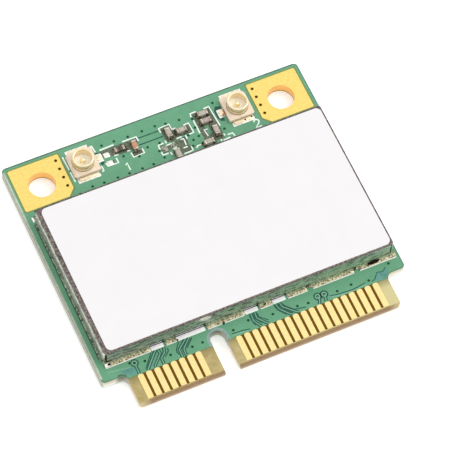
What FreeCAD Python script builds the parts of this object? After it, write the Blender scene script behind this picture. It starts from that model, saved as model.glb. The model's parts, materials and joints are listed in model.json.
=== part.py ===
import FreeCAD, Part
import math
import os

from FreeCAD import Vector

# Half-size wireless network card, lying on its soldered side.
# +X runs along the contact edge, +Y from the contacts to the screw holes, +Z up from the board.
# The origin is under the middle of the board. All sizes are millimetres.

# Board
hole_spacing = 24.2
hole_side_distance = 2.9
hole_back_distance = 2.9
board_length = 26.8
card_thickness = 1.0
copper_thickness = 0.04
mask_thickness = 0.03
board_corner_radius = 0.4

# Contact tongue, measured from the board's sides and its contact edge
tongue_left_inset = 2.3
tongue_right_inset = 2.0
tongue_length = 3.25
tongue_root_radius = 0.6
tongue_tip_radius = 0.35
bevel_length = 0.25
bevel_depth = 0.12
key_centre = -3.7
key_width = 1.5
key_depth = 4.15
mask_front_distance = 2.85

# Edge contacts, counted outwards from the key
contact_pitch = 0.8
contact_width = 0.55
contact_front_distance = 0.34
contact_corner = 0.12
contact_side_margin = 0.6
key_to_left_contact = 2.25
key_to_right_contact = 1.75
bottom_contact_shift = 0.4

# Screw holes and their earth pads
hole_diameter = 2.6
pad_edge_gap = 0.45
pad_inner_reach = 2.55
pad_front_reach = 2.1
pad_chamfer = 0.7
pad_corner_radius = 0.15

# Shield can, folded from one sheet
can_left_gap = 0.85
can_right_gap = 0.5
can_front_distance = 4.98
can_chip_gap = 0.07
can_height = 1.9
sheet_thickness = 0.15
bend_radius = 0.15
can_corner_radius = 0.35
slit_width = 0.18
notch_height = 0.4
front_notches = [(-9.0, 1.45), (-5.7, 3.0), (0.25, 1.5), (3.0, 1.5)]
back_notches = [(0.75, 1.4), (4.0, 1.4)]

# Solder round the can's foot
front_land_outside = 0.44
side_land_outside = 0.15
back_land_outside = 0.35
land_inside = 0.25
fillet_height = 0.25
fillet_toe = 0.03
solder_right_overrun = 0.2
corner_gap = 0.2
solder_gaps = [(6.0, 0.5), (10.7, 0.5)]

# Label on the can
label_left_inset = 0.45
label_right_inset = 0.22
label_front_inset = 0.15
label_back_inset = 0.24
label_thickness = 0.08
label_corner_radius = 0.5

# Coaxial antenna receptacles
antenna_pad_gap = 0.45
antenna_back_distance = 2.35
base_size = 2.6
base_height = 0.4
base_chamfer = 0.2
receptacle_height = 1.25
barrel_diameter = 2.0
barrel_wall = 0.16
skirt_height = 0.3
skirt_cover = 0.12
rim_chamfer = 0.03
groove_height = 0.8
groove_width = 0.24
groove_depth = 0.05
strip_thickness = 0.12
foot_width = 1.8
foot_reach = 0.35
pin_diameter = 0.5
pin_height = 0.95
pin_nose = 0.1
tab_width = 0.5
tab_reach = 0.5
tab_lift = 0.13
tab_clearance = 0.08
ground_land_width = 2.2
ground_land_overhang = 0.15
signal_land_width = 0.9
signal_land_overhang = 0.15
land_underlap = 0.4

# Chip resistors and capacitors
chip_length = 1.0
chip_width = 0.5
capacitor_height = 0.5
resistor_height = 0.35
end_cap_length = 0.22
end_cap_proud = 0.02
chip_land_length = 0.5
chip_land_overhang = 0.2
chip_land_side = 0.03

# Chips in the shield
controller_size = 7.0
controller_height = 0.85
amplifier_size = 3.0
amplifier_height = 0.6
crystal_length = 2.5
crystal_width = 2.0
crystal_base_height = 0.35
crystal_lid_height = 0.4
crystal_lid_inset = 0.2
memory_length = 2.0
memory_width = 3.0
memory_height = 0.6
regulator_length = 2.9
regulator_width = 1.6
regulator_height = 1.0
regulator_lead_width = 0.4
regulator_lead_reach = 0.6
regulator_lead_thickness = 0.15
regulator_lead_pitch = 0.95
inductor_length = 2.5
inductor_width = 2.0
inductor_height = 1.0
inductor_end_length = 0.5
inductor_relief = 0.05
balun_length = 1.6
balun_width = 0.8
balun_height = 0.6
decoupling_count = 6
decoupling_pitch = 1.2
chip_gap = 0.3

# Places of the chips beside the receptacles, each with its turn in degrees:
# from the receptacle's tab towards the other receptacle, and from the board's back edge
series_resistor_1_place = (1.9, 2.28, 0)
series_capacitor_1_place = (3.32, 2.52, 90)
empty_place_1 = (0.58, 2.77, 90)
shunt_capacitor_1_place = (5.26, 2.5, 90)
bypass_capacitor_1_place = (4.03, 2.7, 0)
feed_capacitor_1_place = (5.28, 4.88, 90)
series_capacitor_2_place = (1.5, 1.84, 0)
series_inductor_2_place = (1.53, 2.65, 0)
shunt_capacitor_2_place = (1.02, 3.93, 90)
feed_capacitor_2_place = (2.15, 4.82, 0)
empty_place_2 = (5.73, 3.78, 0)

# Sizes that follow from the ones above
board_width = hole_spacing + 2 * hole_side_distance
left = -board_width / 2
right = board_width / 2
front = -board_length / 2
back = board_length / 2
top = card_thickness
laminate_top = card_thickness - copper_thickness
mask_top = laminate_top + mask_thickness
tongue_left = left + tongue_left_inset
tongue_right = right - tongue_right_inset
shoulder = front + tongue_length
mask_front = front + mask_front_distance
hole_y = back - hole_back_distance
chip_reach = chip_length / 2 + chip_land_overhang
can_left = left + can_left_gap
can_right = right - can_right_gap
can_front = front + can_front_distance
can_back = back - feed_capacitor_1_place[1] - chip_reach - can_chip_gap - back_land_outside
can_top = top + can_height
can_middle_x = (can_left + can_right) / 2
can_middle_y = (can_front + can_back) / 2
antenna_x = hole_spacing / 2 - pad_inner_reach - antenna_pad_gap - base_size / 2
antenna_y = back - antenna_back_distance
tab_end = base_size / 2 + tab_reach


def box(x0, x1, y0, y1, z0, z1):
    """Block between two corners."""
    return Part.makeBox(x1 - x0, y1 - y0, z1 - z0, Vector(x0, y0, z0))


def drill(x, y, diameter, z0, z1):
    """Upright cylinder, used as a drill or a pin."""
    return Part.makeCylinder(diameter / 2, z1 - z0, Vector(x, y, z0))


def plate(corners, z0, thickness):
    """Flat plate whose corners, each given as (x, y, radius), are rounded by tangent arcs."""
    edges = []
    ends = []
    count = len(corners)
    for i in range(count):
        corner = Vector(corners[i][0], corners[i][1], z0)
        radius = corners[i][2]
        before = Vector(corners[i - 1][0], corners[i - 1][1], z0) - corner
        after = Vector(corners[(i + 1) % count][0], corners[(i + 1) % count][1], z0) - corner
        before.normalize()
        after.normalize()
        if radius == 0:
            ends.append((corner, corner))
            continue
        half_angle = before.getAngle(after) / 2
        reach = radius / math.tan(half_angle)
        inward = before + after
        inward.normalize()
        middle = corner + inward * (radius / math.sin(half_angle) - radius)
        start = corner + before * reach
        end = corner + after * reach
        ends.append((start, end))
        edges.append(Part.Arc(start, middle, end).toShape())
    for i in range(count):
        edges.append(Part.LineSegment(ends[i - 1][1], ends[i][0]).toShape())
    wire = Part.Wire(Part.__sortEdges__(edges))
    return Part.Face(wire).extrude(Vector(0, 0, thickness))


def rounded_rectangle(x0, x1, y0, y1, radius, z0, thickness):
    """Plate with four equal round corners."""
    corners = [(x0, y0, radius), (x1, y0, radius), (x1, y1, radius), (x0, y1, radius)]
    return plate(corners, z0, thickness)


def extrude_profile(points, along):
    """Solid swept straight from a flat polygon."""
    wire = Part.makePolygon(points + points[:1])
    return Part.Face(wire).extrude(along)


def board_blank(z0, thickness):
    """The board's outline, with its tongue, shoulders and key, as a plate."""
    corners = [
        (tongue_left, front, tongue_tip_radius),
        (tongue_right, front, tongue_tip_radius),
        (tongue_right, shoulder, tongue_root_radius),
        (right, shoulder, board_corner_radius),
        (right, back, board_corner_radius),
        (left, back, board_corner_radius),
        (left, shoulder, board_corner_radius),
        (tongue_left, shoulder, tongue_root_radius),
    ]
    blank = plate(corners, z0, thickness)
    key_end = front + key_depth - key_width / 2
    key = box(key_centre - key_width / 2, key_centre + key_width / 2, front, key_end, z0, z0 + thickness)
    return blank.cut([key, drill(key_centre, key_end, key_width, z0, z0 + thickness)])


def tip_bevels():
    """Wedges that bevel both faces of the tongue's tip."""
    along = Vector(board_width, 0, 0)
    wedges = []
    for face, inward in ((laminate_top, -1), (copper_thickness, 1)):
        points = [
            Vector(left, front, face),
            Vector(left, front + bevel_length, face),
            Vector(left, front, face + inward * bevel_depth),
        ]
        wedges.append(extrude_profile(points, along))
    return wedges


def contact_middles(shift):
    """Contact positions along the tongue: as many as fit on each side of the key."""
    reach = contact_width / 2 + contact_side_margin
    middles = []
    x = key_centre - key_to_left_contact + shift
    while x - reach >= tongue_left:
        middles.append(x)
        x -= contact_pitch
    x = key_centre + key_to_right_contact + shift
    while x + reach <= tongue_right:
        middles.append(x)
        x += contact_pitch
    return middles


def edge_contact(x, z0):
    """One gold contact with clipped back corners, which ends at the solder mask."""
    half = contact_width / 2
    y0 = front + contact_front_distance
    corners = [
        (x - half, y0, 0),
        (x + half, y0, 0),
        (x + half, mask_front - contact_corner, 0),
        (x + half - contact_corner, mask_front, 0),
        (x - half + contact_corner, mask_front, 0),
        (x - half, mask_front - contact_corner, 0),
    ]
    return plate(corners, z0, copper_thickness)


def edge_contacts(shift, z0):
    """One face's row of contacts."""
    return Part.makeCompound([edge_contact(x, z0) for x in contact_middles(shift)])


def screw_pad(side, z0):
    """Earth pad round one screw hole, clipped at the corner that faces the receptacle."""
    hole_x = side * hole_spacing / 2
    outer = side * (board_width / 2 - pad_edge_gap)
    inner = hole_x - side * pad_inner_reach
    y0 = hole_y - pad_front_reach
    y1 = back - pad_edge_gap
    corners = [
        (outer, y0, pad_corner_radius),
        (outer, y1, pad_corner_radius),
        (inner, y1, pad_corner_radius),
        (inner, y0 + pad_chamfer, 0),
        (inner + side * pad_chamfer, y0, 0),
    ]
    return plate(corners, z0, copper_thickness)


def screw_drill(side):
    """Drill for one screw hole, through the whole card."""
    return drill(side * hole_spacing / 2, hole_y, hole_diameter, 0, top)


def earth_pads(z0):
    """One face's pair of earth pads, open at the screw holes."""
    return Part.makeCompound([screw_pad(side, z0).cut(screw_drill(side)) for side in (-1, 1)])


def laminate():
    """Bare board, drilled for the screws and bevelled at the tongue's tip."""
    board = board_blank(copper_thickness, laminate_top - copper_thickness)
    return board.cut(tip_bevels() + [screw_drill(-1), screw_drill(1)])


def solder_mask(z0, openings):
    """Lacquer film over one face, open at the tongue, the screw pads and the solder lands."""
    film = board_blank(z0, mask_thickness)
    tongue = box(left, right, front, mask_front, z0, z0 + mask_thickness)
    return film.cut([tongue, screw_pad(-1, z0), screw_pad(1, z0)] + openings)


def notch_cuts(wall_y0, wall_y1, notches):
    """Blocks that open a wall's foot over the tracks."""
    foot = top + notch_height
    return [box(x - width / 2, x + width / 2, wall_y0, wall_y1, top, foot) for x, width in notches]


def shield_can():
    """Can folded from one sheet: walls slit at the corners and notched over the tracks."""
    block = box(can_left, can_right, can_front, can_back, top, can_top)
    rim = [edge for edge in block.Edges if edge.BoundBox.ZMin > can_top - bend_radius]
    block = block.makeFillet(bend_radius, rim)
    outer = block.common(
        rounded_rectangle(can_left, can_right, can_front, can_back, can_corner_radius, top, can_height)
    )
    x0 = can_left + sheet_thickness
    x1 = can_right - sheet_thickness
    y0 = can_front + sheet_thickness
    y1 = can_back - sheet_thickness
    cuts = [box(x0, x1, y0, y1, top, can_top - sheet_thickness)]
    slit_top = can_top - max(bend_radius, sheet_thickness)
    for wall_y0, wall_y1 in ((can_front, y0), (y1, can_back)):
        cuts.append(box(x0, x0 + slit_width, wall_y0, wall_y1, top, slit_top))
        cuts.append(box(x1 - slit_width, x1, wall_y0, wall_y1, top, slit_top))
    cuts += notch_cuts(can_front, y0, front_notches)
    cuts += notch_cuts(y1, can_back, back_notches)
    return outer.cut(cuts)


def solder_section(reach, outward):
    """Section of a soldered land: flat under the wall, rising to the wall's outer face."""
    return [
        (reach * outward, laminate_top),
        (reach * outward, top + fillet_toe),
        (0, top + min(fillet_height, reach)),
        (0, top),
        (-land_inside * outward, top),
        (-land_inside * outward, laminate_top),
    ]


def spans_between(start, end, gaps):
    """Stretches of a wall that lie between its gaps, each given by its middle and width."""
    spans = []
    for x, width in sorted(gaps):
        spans.append((start, x - width / 2))
        start = x + width / 2
    spans.append((start, end))
    return spans


def shield_solder():
    """Solder along the four sides of the can, broken at the notches, the corners and between the lands."""
    strips = []
    walls = [
        (can_front, front_land_outside, -1, front_notches + solder_gaps),
        (can_back, back_land_outside, 1, back_notches),
    ]
    for wall_y, reach, outward, gaps in walls:
        for x0, x1 in spans_between(can_left, can_right + solder_right_overrun, gaps):
            points = [Vector(x0, wall_y + y, z) for y, z in solder_section(reach, outward)]
            strips.append(extrude_profile(points, Vector(x1 - x0, 0, 0)))
    y0 = can_front + land_inside + corner_gap
    y1 = can_back - land_inside - corner_gap
    for wall_x, outward in ((can_left, -1), (can_right, 1)):
        points = [Vector(wall_x + x, y0, z) for x, z in solder_section(side_land_outside, outward)]
        strips.append(extrude_profile(points, Vector(0, y1 - y0, 0)))
    return Part.makeCompound(strips)


def label():
    """Blank sticker on the lid."""
    x0 = can_left + label_left_inset
    x1 = can_right - label_right_inset
    y0 = can_front + label_front_inset
    y1 = can_back - label_back_inset
    return rounded_rectangle(x0, x1, y0, y1, label_corner_radius, can_top, label_thickness)


def receptacle_shell():
    """Barrel with a snap groove and a skirt that the base covers, on two feet that reach out past it."""
    outer = barrel_diameter / 2
    inner = outer - barrel_wall
    skirt = base_size / 2 - skirt_cover
    low = groove_height - groove_width / 2
    high = groove_height + groove_width / 2
    profile = [
        (inner, 0),
        (skirt, 0),
        (skirt, skirt_height),
        (outer, skirt_height),
        (outer, low),
        (outer - groove_depth, groove_height),
        (outer, high),
        (outer, receptacle_height - rim_chamfer),
        (outer - rim_chamfer, receptacle_height),
        (inner, receptacle_height),
    ]
    points = [Vector(r, 0, z) for r, z in profile]
    wire = Part.makePolygon(points + points[:1])
    shell = Part.Face(wire).revolve(Vector(0, 0, 0), Vector(0, 0, 1), 360)
    reach = base_size / 2 + foot_reach
    feet = box(-foot_width / 2, foot_width / 2, -reach, reach, 0, strip_thickness)
    shell = shell.fuse(feet.cut(drill(0, 0, 2 * inner, 0, strip_thickness)))
    half = tab_width / 2 + tab_clearance
    opening = box(0, base_size, -half, half, 0, tab_lift + strip_thickness + tab_clearance)
    return shell.cut(opening)


def centre_contact():
    """Pin on a flat strip that leaves the base through its side and steps down to the board."""
    edge = base_size / 2
    foot = edge + tab_lift
    start = -pin_diameter / 2
    profile = [
        (start, tab_lift),
        (edge, tab_lift),
        (foot, 0),
        (tab_end, 0),
        (tab_end, strip_thickness),
        (foot + strip_thickness / 2, strip_thickness),
        (edge + strip_thickness / 2, tab_lift + strip_thickness),
        (start, tab_lift + strip_thickness),
    ]
    points = [Vector(x, -tab_width / 2, z) for x, z in profile]
    strip = extrude_profile(points, Vector(0, tab_width, 0))
    shank_top = pin_height - pin_nose
    pin = drill(0, 0, pin_diameter, tab_lift, shank_top)
    nose = Part.makeCone(pin_diameter / 2, pin_diameter / 2 - pin_nose, pin_nose, Vector(0, 0, shank_top))
    return strip.fuse([pin, nose]).removeSplitter()


def receptacle_base():
    """Moulded base, clipped on the side away from the tab, with the metal parts moulded in."""
    half = base_size / 2
    clipped = half - base_chamfer
    corners = [
        (half, -half, 0),
        (half, half, 0),
        (-clipped, half, 0),
        (-half, clipped, 0),
        (-half, -clipped, 0),
        (-clipped, -half, 0),
    ]
    return plate(corners, 0, base_height).cut([receptacle_shell(), centre_contact()])


def receptacle_lands():
    """Solder lands under one receptacle: two for the feet and one for the tab."""
    half = base_size / 2
    inner = half - land_underlap
    side = ground_land_width / 2
    outer = half + foot_reach + ground_land_overhang
    end = tab_end + signal_land_overhang
    return Part.makeCompound([
        box(-side, side, -outer, -inner, laminate_top, top),
        box(-side, side, inner, outer, laminate_top, top),
        box(inner, end, -signal_land_width / 2, signal_land_width / 2, laminate_top, top),
    ])


def placed(shape, x, y, z, turn):
    """Copy of a shape, turned about Z and moved to its place."""
    moved = shape.copy()
    moved.rotate(Vector(0, 0, 0), Vector(0, 0, 1), turn)
    moved.translate(Vector(x, y, z))
    return moved


def chip_body(height):
    """Ceramic middle of a chip that lies along X."""
    half = chip_length / 2 - end_cap_length
    side = chip_width / 2 - end_cap_proud
    return box(-half, half, -side, side, end_cap_proud, height - end_cap_proud)


def chip_end_caps(height):
    """Tinned ends of a chip."""
    half = chip_length / 2
    side = chip_width / 2
    return Part.makeCompound([
        box(-half, -half + end_cap_length, -side, side, 0, height),
        box(half - end_cap_length, half, -side, side, 0, height),
    ])


def chip_lands():
    """Pair of solder lands for one chip."""
    side = chip_width / 2 + chip_land_side
    inner = chip_reach - chip_land_length
    return Part.makeCompound([
        box(-chip_reach, -inner, -side, side, laminate_top, top),
        box(inner, chip_reach, -side, side, laminate_top, top),
    ])


def beside_receptacle_1(place):
    """Place measured from the tab of receptacle 1 and from the board's back edge."""
    return -antenna_x + tab_end + place[0], back - place[1], place[2]


def beside_receptacle_2(place):
    """Place measured from the tab of receptacle 2 and from the board's back edge."""
    return antenna_x - tab_end - place[0], back - place[1], place[2]


def visible_chips():
    """Chips beside the receptacles: name, height, and place with its turn."""
    return [
        ("antenna_1_series_resistor", resistor_height, beside_receptacle_1(series_resistor_1_place)),
        ("antenna_1_series_capacitor", capacitor_height, beside_receptacle_1(series_capacitor_1_place)),
        ("antenna_1_shunt_capacitor", capacitor_height, beside_receptacle_2(shunt_capacitor_1_place)),
        ("antenna_1_bypass_capacitor", capacitor_height, beside_receptacle_2(bypass_capacitor_1_place)),
        ("antenna_1_feed_capacitor", capacitor_height, beside_receptacle_2(feed_capacitor_1_place)),
        ("antenna_2_series_capacitor", capacitor_height, beside_receptacle_2(series_capacitor_2_place)),
        ("antenna_2_series_inductor", capacitor_height, beside_receptacle_2(series_inductor_2_place)),
        ("antenna_2_shunt_capacitor", capacitor_height, beside_receptacle_2(shunt_capacitor_2_place)),
        ("antenna_2_feed_capacitor", capacitor_height, beside_receptacle_2(feed_capacitor_2_place)),
    ]


def controller():
    """Leadless controller chip."""
    half = controller_size / 2
    return box(-half, half, -half, half, 0, controller_height)


def amplifier():
    """Leadless radio amplifier and switch chip."""
    half = amplifier_size / 2
    return box(-half, half, -half, half, 0, amplifier_height)


def crystal():
    """Reference crystal: a ceramic tray with a smaller sealed lid."""
    half_x = crystal_length / 2
    half_y = crystal_width / 2
    tray = box(-half_x, half_x, -half_y, half_y, 0, crystal_base_height)
    half_x -= crystal_lid_inset
    half_y -= crystal_lid_inset
    top_height = crystal_base_height + crystal_lid_height
    return tray.fuse(box(-half_x, half_x, -half_y, half_y, crystal_base_height, top_height))


def memory():
    """Small memory chip that holds the radio's settings."""
    half_x = memory_length / 2
    half_y = memory_width / 2
    return box(-half_x, half_x, -half_y, half_y, 0, memory_height)


def regulator():
    """Five-lead voltage regulator."""
    half_x = regulator_length / 2
    half_y = regulator_width / 2
    lift = regulator_lead_thickness
    body = box(-half_x, half_x, -half_y, half_y, lift, regulator_height)
    reach = half_y + regulator_lead_reach
    leads = []
    for side, steps in ((-1, (-1, 0, 1)), (1, (-1, 1))):
        for step in steps:
            x = step * regulator_lead_pitch
            y0, y1 = sorted((side * half_y / 2, side * reach))
            half = regulator_lead_width / 2
            leads.append(box(x - half, x + half, y0, y1, 0, lift))
    return body.fuse(leads)


def inductor():
    """Supply inductor: a square core with a stepped end at each side."""
    half_x = inductor_length / 2
    half_y = inductor_width / 2
    core = box(-half_x, half_x, -half_y, half_y, 0, inductor_height)
    between_ends = half_x - inductor_end_length
    return core.cut(box(-between_ends, between_ends, -half_y, half_y, 0, inductor_relief))


def balun():
    """Ceramic filter between the controller and an amplifier."""
    half_x = balun_length / 2
    half_y = balun_width / 2
    return box(-half_x, half_x, -half_y, half_y, 0, balun_height)


def in_shield(shape, x, y):
    """Chip placed on the board at a distance from the middle of the shield."""
    return placed(shape, can_middle_x + x, can_middle_y + y, mask_top, 0)


def shield_columns():
    """How far each column of chips stands from the shield's middle."""
    capacitors = controller_size / 2 + chip_gap + chip_length / 2
    amplifiers = capacitors + chip_length / 2 + chip_gap + amplifier_size / 2
    outer = amplifiers + amplifier_size / 2 + chip_gap
    supply = outer + max(regulator_length, inductor_length) / 2
    timing = outer + max(crystal_length, memory_length) / 2
    return capacitors, amplifiers, supply, timing


def shielded_chips():
    """Chips in the shield, in columns beside the controller and in two rows about the middle."""
    capacitors, amplifiers, supply, timing = shield_columns()
    clear = chip_gap / 2
    amplifier_y = clear + amplifier_size / 2
    balun_y = -clear - balun_width / 2
    regulator_y = -clear - regulator_width / 2 - regulator_lead_reach
    return {
        "controller_chip": in_shield(controller(), 0, 0),
        "amplifier_chip_1": in_shield(amplifier(), -amplifiers, amplifier_y),
        "amplifier_chip_2": in_shield(amplifier(), amplifiers, amplifier_y),
        "balun_1": in_shield(balun(), -amplifiers, balun_y),
        "balun_2": in_shield(balun(), amplifiers, balun_y),
        "voltage_regulator": in_shield(regulator(), -supply, regulator_y),
        "supply_inductor": in_shield(inductor(), -supply, clear + inductor_width / 2),
        "settings_memory": in_shield(memory(), timing, clear + memory_width / 2),
        "reference_crystal": in_shield(crystal(), timing, -clear - crystal_width / 2),
    }


def decoupling_places():
    """Supply capacitors in a column on each side of the controller."""
    column = shield_columns()[0]
    first = can_middle_y - (decoupling_count - 1) * decoupling_pitch / 2
    places = []
    for x in (can_middle_x - column, can_middle_x + column):
        places += [(x, first + i * decoupling_pitch) for i in range(decoupling_count)]
    return places


def build():
    """All the pieces of the card, by name."""
    parts = shielded_chips()
    lands = []
    end_caps = []
    for name, height, (x, y, turn) in visible_chips():
        parts[name] = placed(chip_body(height), x, y, top, turn)
        end_caps += placed(chip_end_caps(height), x, y, top, turn).Solids
        lands += placed(chip_lands(), x, y, 0, turn).Solids
    for x, y, turn in (beside_receptacle_1(empty_place_1), beside_receptacle_2(empty_place_2)):
        lands += placed(chip_lands(), x, y, 0, turn).Solids

    capacitors = []
    for x, y in decoupling_places():
        capacitors.append(placed(chip_body(capacitor_height), x, y, mask_top, 0))
        end_caps += placed(chip_end_caps(capacitor_height), x, y, mask_top, 0).Solids

    for number, x, turn in ((1, -antenna_x, 0), (2, antenna_x, 180)):
        name = "antenna_%d_" % number
        parts[name + "base"] = placed(receptacle_base(), x, antenna_y, top, turn)
        parts[name + "shell"] = placed(receptacle_shell(), x, antenna_y, top, turn)
        parts[name + "centre_contact"] = placed(centre_contact(), x, antenna_y, top, turn)
        lands += placed(receptacle_lands(), x, antenna_y, 0, turn).Solids

    solder = shield_solder()
    parts["laminate"] = laminate()
    parts["solder_mask_top"] = solder_mask(laminate_top, lands + solder.Solids)
    parts["solder_mask_bottom"] = solder_mask(copper_thickness - mask_thickness, [])
    parts["edge_contacts_top"] = edge_contacts(0, laminate_top)
    parts["edge_contacts_bottom"] = edge_contacts(bottom_contact_shift, 0)
    parts["earth_pads_top"] = earth_pads(laminate_top)
    parts["earth_pads_bottom"] = earth_pads(0)
    parts["solder_lands"] = Part.makeCompound(lands)
    parts["chip_end_caps"] = Part.makeCompound(end_caps)
    parts["decoupling_capacitors"] = Part.makeCompound(capacitors)
    parts["shield_can"] = shield_can()
    parts["shield_solder"] = solder
    parts["label"] = label()
    return parts


os.makedirs("parts", exist_ok=True)
for part_name, shape in build().items():
    shape.exportStep("parts/" + part_name + ".step")
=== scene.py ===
import json
import math
import random

import bpy
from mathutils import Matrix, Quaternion, Vector


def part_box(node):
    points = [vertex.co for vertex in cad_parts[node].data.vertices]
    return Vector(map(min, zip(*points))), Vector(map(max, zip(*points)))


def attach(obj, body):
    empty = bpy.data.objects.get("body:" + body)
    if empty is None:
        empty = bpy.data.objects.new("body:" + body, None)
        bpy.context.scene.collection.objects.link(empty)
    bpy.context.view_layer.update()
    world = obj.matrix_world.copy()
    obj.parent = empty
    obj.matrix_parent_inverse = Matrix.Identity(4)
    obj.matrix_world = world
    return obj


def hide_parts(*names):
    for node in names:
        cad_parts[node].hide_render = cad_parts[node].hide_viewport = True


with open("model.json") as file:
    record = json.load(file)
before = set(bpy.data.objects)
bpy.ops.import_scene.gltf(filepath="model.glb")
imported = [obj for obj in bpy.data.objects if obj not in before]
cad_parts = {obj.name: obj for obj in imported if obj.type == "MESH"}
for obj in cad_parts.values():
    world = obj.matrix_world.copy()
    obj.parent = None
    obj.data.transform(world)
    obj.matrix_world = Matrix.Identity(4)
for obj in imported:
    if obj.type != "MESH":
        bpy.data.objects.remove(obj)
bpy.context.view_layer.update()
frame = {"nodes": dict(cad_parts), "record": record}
nodes = frame["nodes"]

# Pieces are modelled in millimetres in the card's own frame, and scaled to metres when they are finished.
MM = 0.001
chance = random.Random(7)

# Points nearer to each other than this are one point, and edges sharper than this angle stay sharp.
same_place = 1e-4
sharp_angle = math.radians(40)


# Shaping tools


def deselect():
    bpy.ops.object.select_all(action="DESELECT")


def choose(*pieces):
    deselect()
    for piece in pieces:
        piece.select_set(True)
    bpy.context.view_layer.objects.active = pieces[0]


def start_shaping():
    bpy.ops.object.mode_set(mode="EDIT")


def shape_all():
    start_shaping()
    bpy.ops.mesh.select_all(action="SELECT")


def done_shaping():
    bpy.ops.object.mode_set(mode="OBJECT")


def set_place():
    bpy.ops.object.transform_apply(location=True, rotation=True, scale=True)


def add_block(name, low, high):
    """A cube drawn out between two corners."""
    low = Vector(low)
    high = Vector(high)
    deselect()
    bpy.ops.mesh.primitive_cube_add(size=1, location=(low + high) / 2, scale=high - low)
    piece = bpy.context.object
    piece.name = name
    set_place()
    return piece


def round_edges(piece, width, steps=2):
    choose(piece)
    rounding = piece.modifiers.new("rounding", "BEVEL")
    rounding.width = width
    rounding.segments = steps
    rounding.limit_method = "ANGLE"
    bpy.ops.object.modifier_apply(modifier=rounding.name)


def join(pieces, name):
    choose(*pieces)
    if len(pieces) > 1:
        bpy.ops.object.join()
    piece = bpy.context.object
    piece.name = name
    set_place()
    return piece


def repeat(model, name, places, turns=None):
    """Copies of one finished shape, each with its own mesh, joined as one piece."""
    copies = []
    for index, place in enumerate(places):
        copy = model.copy()
        copy.data = model.data.copy()
        copy.location = place
        copy.rotation_euler = turns[index] if turns else (0, 0, 0)
        bpy.context.collection.objects.link(copy)
        copies.append(copy)
    bpy.data.objects.remove(model)
    return join(copies, name)


def draw_chain(points):
    """One point pushed from place to place, which leaves a chain of edges behind it."""
    deselect()
    bpy.ops.mesh.primitive_plane_add(size=1, location=points[0])
    start_shaping()
    bpy.ops.mesh.merge(type="CENTER")
    for before, after in zip(points, points[1:]):
        step = Vector(after) - Vector(before)
        bpy.ops.mesh.extrude_region_move(TRANSFORM_OT_translate={"value": step})
    done_shaping()
    set_place()
    return bpy.context.object


def close_shape():
    """Merges a shape's meeting points and turns its faces outwards."""
    bpy.ops.mesh.select_all(action="SELECT")
    bpy.ops.mesh.remove_doubles(threshold=same_place)
    bpy.ops.mesh.normals_make_consistent(inside=False)


def add_prism(name, outline, along):
    """A solid pushed out of a flat outline."""
    piece = draw_chain(outline + outline[:1])
    piece.name = name
    shape_all()
    bpy.ops.mesh.remove_doubles(threshold=same_place)
    bpy.ops.mesh.edge_face_add()
    bpy.ops.mesh.extrude_region_move(TRANSFORM_OT_translate={"value": along})
    close_shape()
    done_shaping()
    return piece


def turn_round(name, section, steps=48):
    """A round piece turned about the upright axis from its section, given as radius and height."""
    piece = draw_chain([(radius, 0, height) for radius, height in section])
    piece.name = name
    shape_all()
    bpy.ops.mesh.spin(steps=steps, angle=2 * math.pi, center=(0, 0, 0), axis=(0, 0, 1))
    close_shape()
    done_shaping()
    return piece


def draw_lines(name, strokes, width, height, level):
    """Lines of one width with a rounded back, standing a little proud of the level that they lie on."""
    chains = [draw_chain([(x, y, level) for x, y in points]) for points in strokes]
    join(chains, name)
    bpy.ops.object.convert(target="CURVE")
    curve = bpy.context.object.data
    curve.bevel_depth = width / 2
    curve.bevel_resolution = 2
    curve.use_fill_caps = True
    bpy.ops.object.convert(target="MESH")
    shape_all()
    bpy.ops.transform.resize(value=(1, 1, 2 * height / width), center_override=(0, 0, level))
    done_shaping()
    return bpy.context.object


def lay_patches(name, outlines, level, height):
    """Thin flat plates with the given outlines, as one piece."""
    along = (0, 0, height)
    return join([add_prism(name, [(x, y, level) for x, y in outline], along) for outline in outlines], name)


def finish_piece(piece, material, replaced=()):
    """Scales a piece to metres, smooths it, paints it and fixes it to the card."""
    choose(piece)
    piece.scale = (MM, MM, MM)
    set_place()
    bpy.ops.object.shade_smooth_by_angle(angle=sharp_angle)
    if material is not None:
        piece.data.materials.clear()
        piece.data.materials.append(material)
    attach(piece, "root")
    if replaced:
        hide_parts(*replaced)


def lay_lacquer_lines(rows):
    """Lines seen in the lacquer, one piece for each row of name, strokes, width, height and finish."""
    for name, strokes, width, height, finish in rows:
        finish_piece(draw_lines(name, strokes, width, height, mask_level), finish)


def lay_lacquer_patches(rows):
    """Patches seen in the lacquer, one piece for each row of name, outlines, height and finish."""
    for name, outlines, height, finish in rows:
        finish_piece(lay_patches(name, outlines, mask_level, height), finish)


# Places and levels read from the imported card


def box_mm(node):
    low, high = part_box(node)
    return low / MM, high / MM


def solids_of(node):
    """The low and high corners, in mm, of each separate solid in a node, from left to right."""
    copy = nodes[node].copy()
    copy.data = nodes[node].data.copy()
    bpy.context.collection.objects.link(copy)
    choose(copy)
    shape_all()
    bpy.ops.mesh.remove_doubles(threshold=same_place * MM)
    bpy.ops.mesh.separate(type="LOOSE")
    done_shaping()
    boxes = []
    for solid in bpy.context.selected_objects:
        points = [vertex.co / MM for vertex in solid.data.vertices]
        low = Vector([min(point[axis] for point in points) for axis in range(3)])
        high = Vector([max(point[axis] for point in points) for axis in range(3)])
        boxes.append((low, high))
    bpy.ops.object.delete()
    return sorted(boxes, key=lambda corners: (corners[0].x, corners[0].y))


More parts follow.
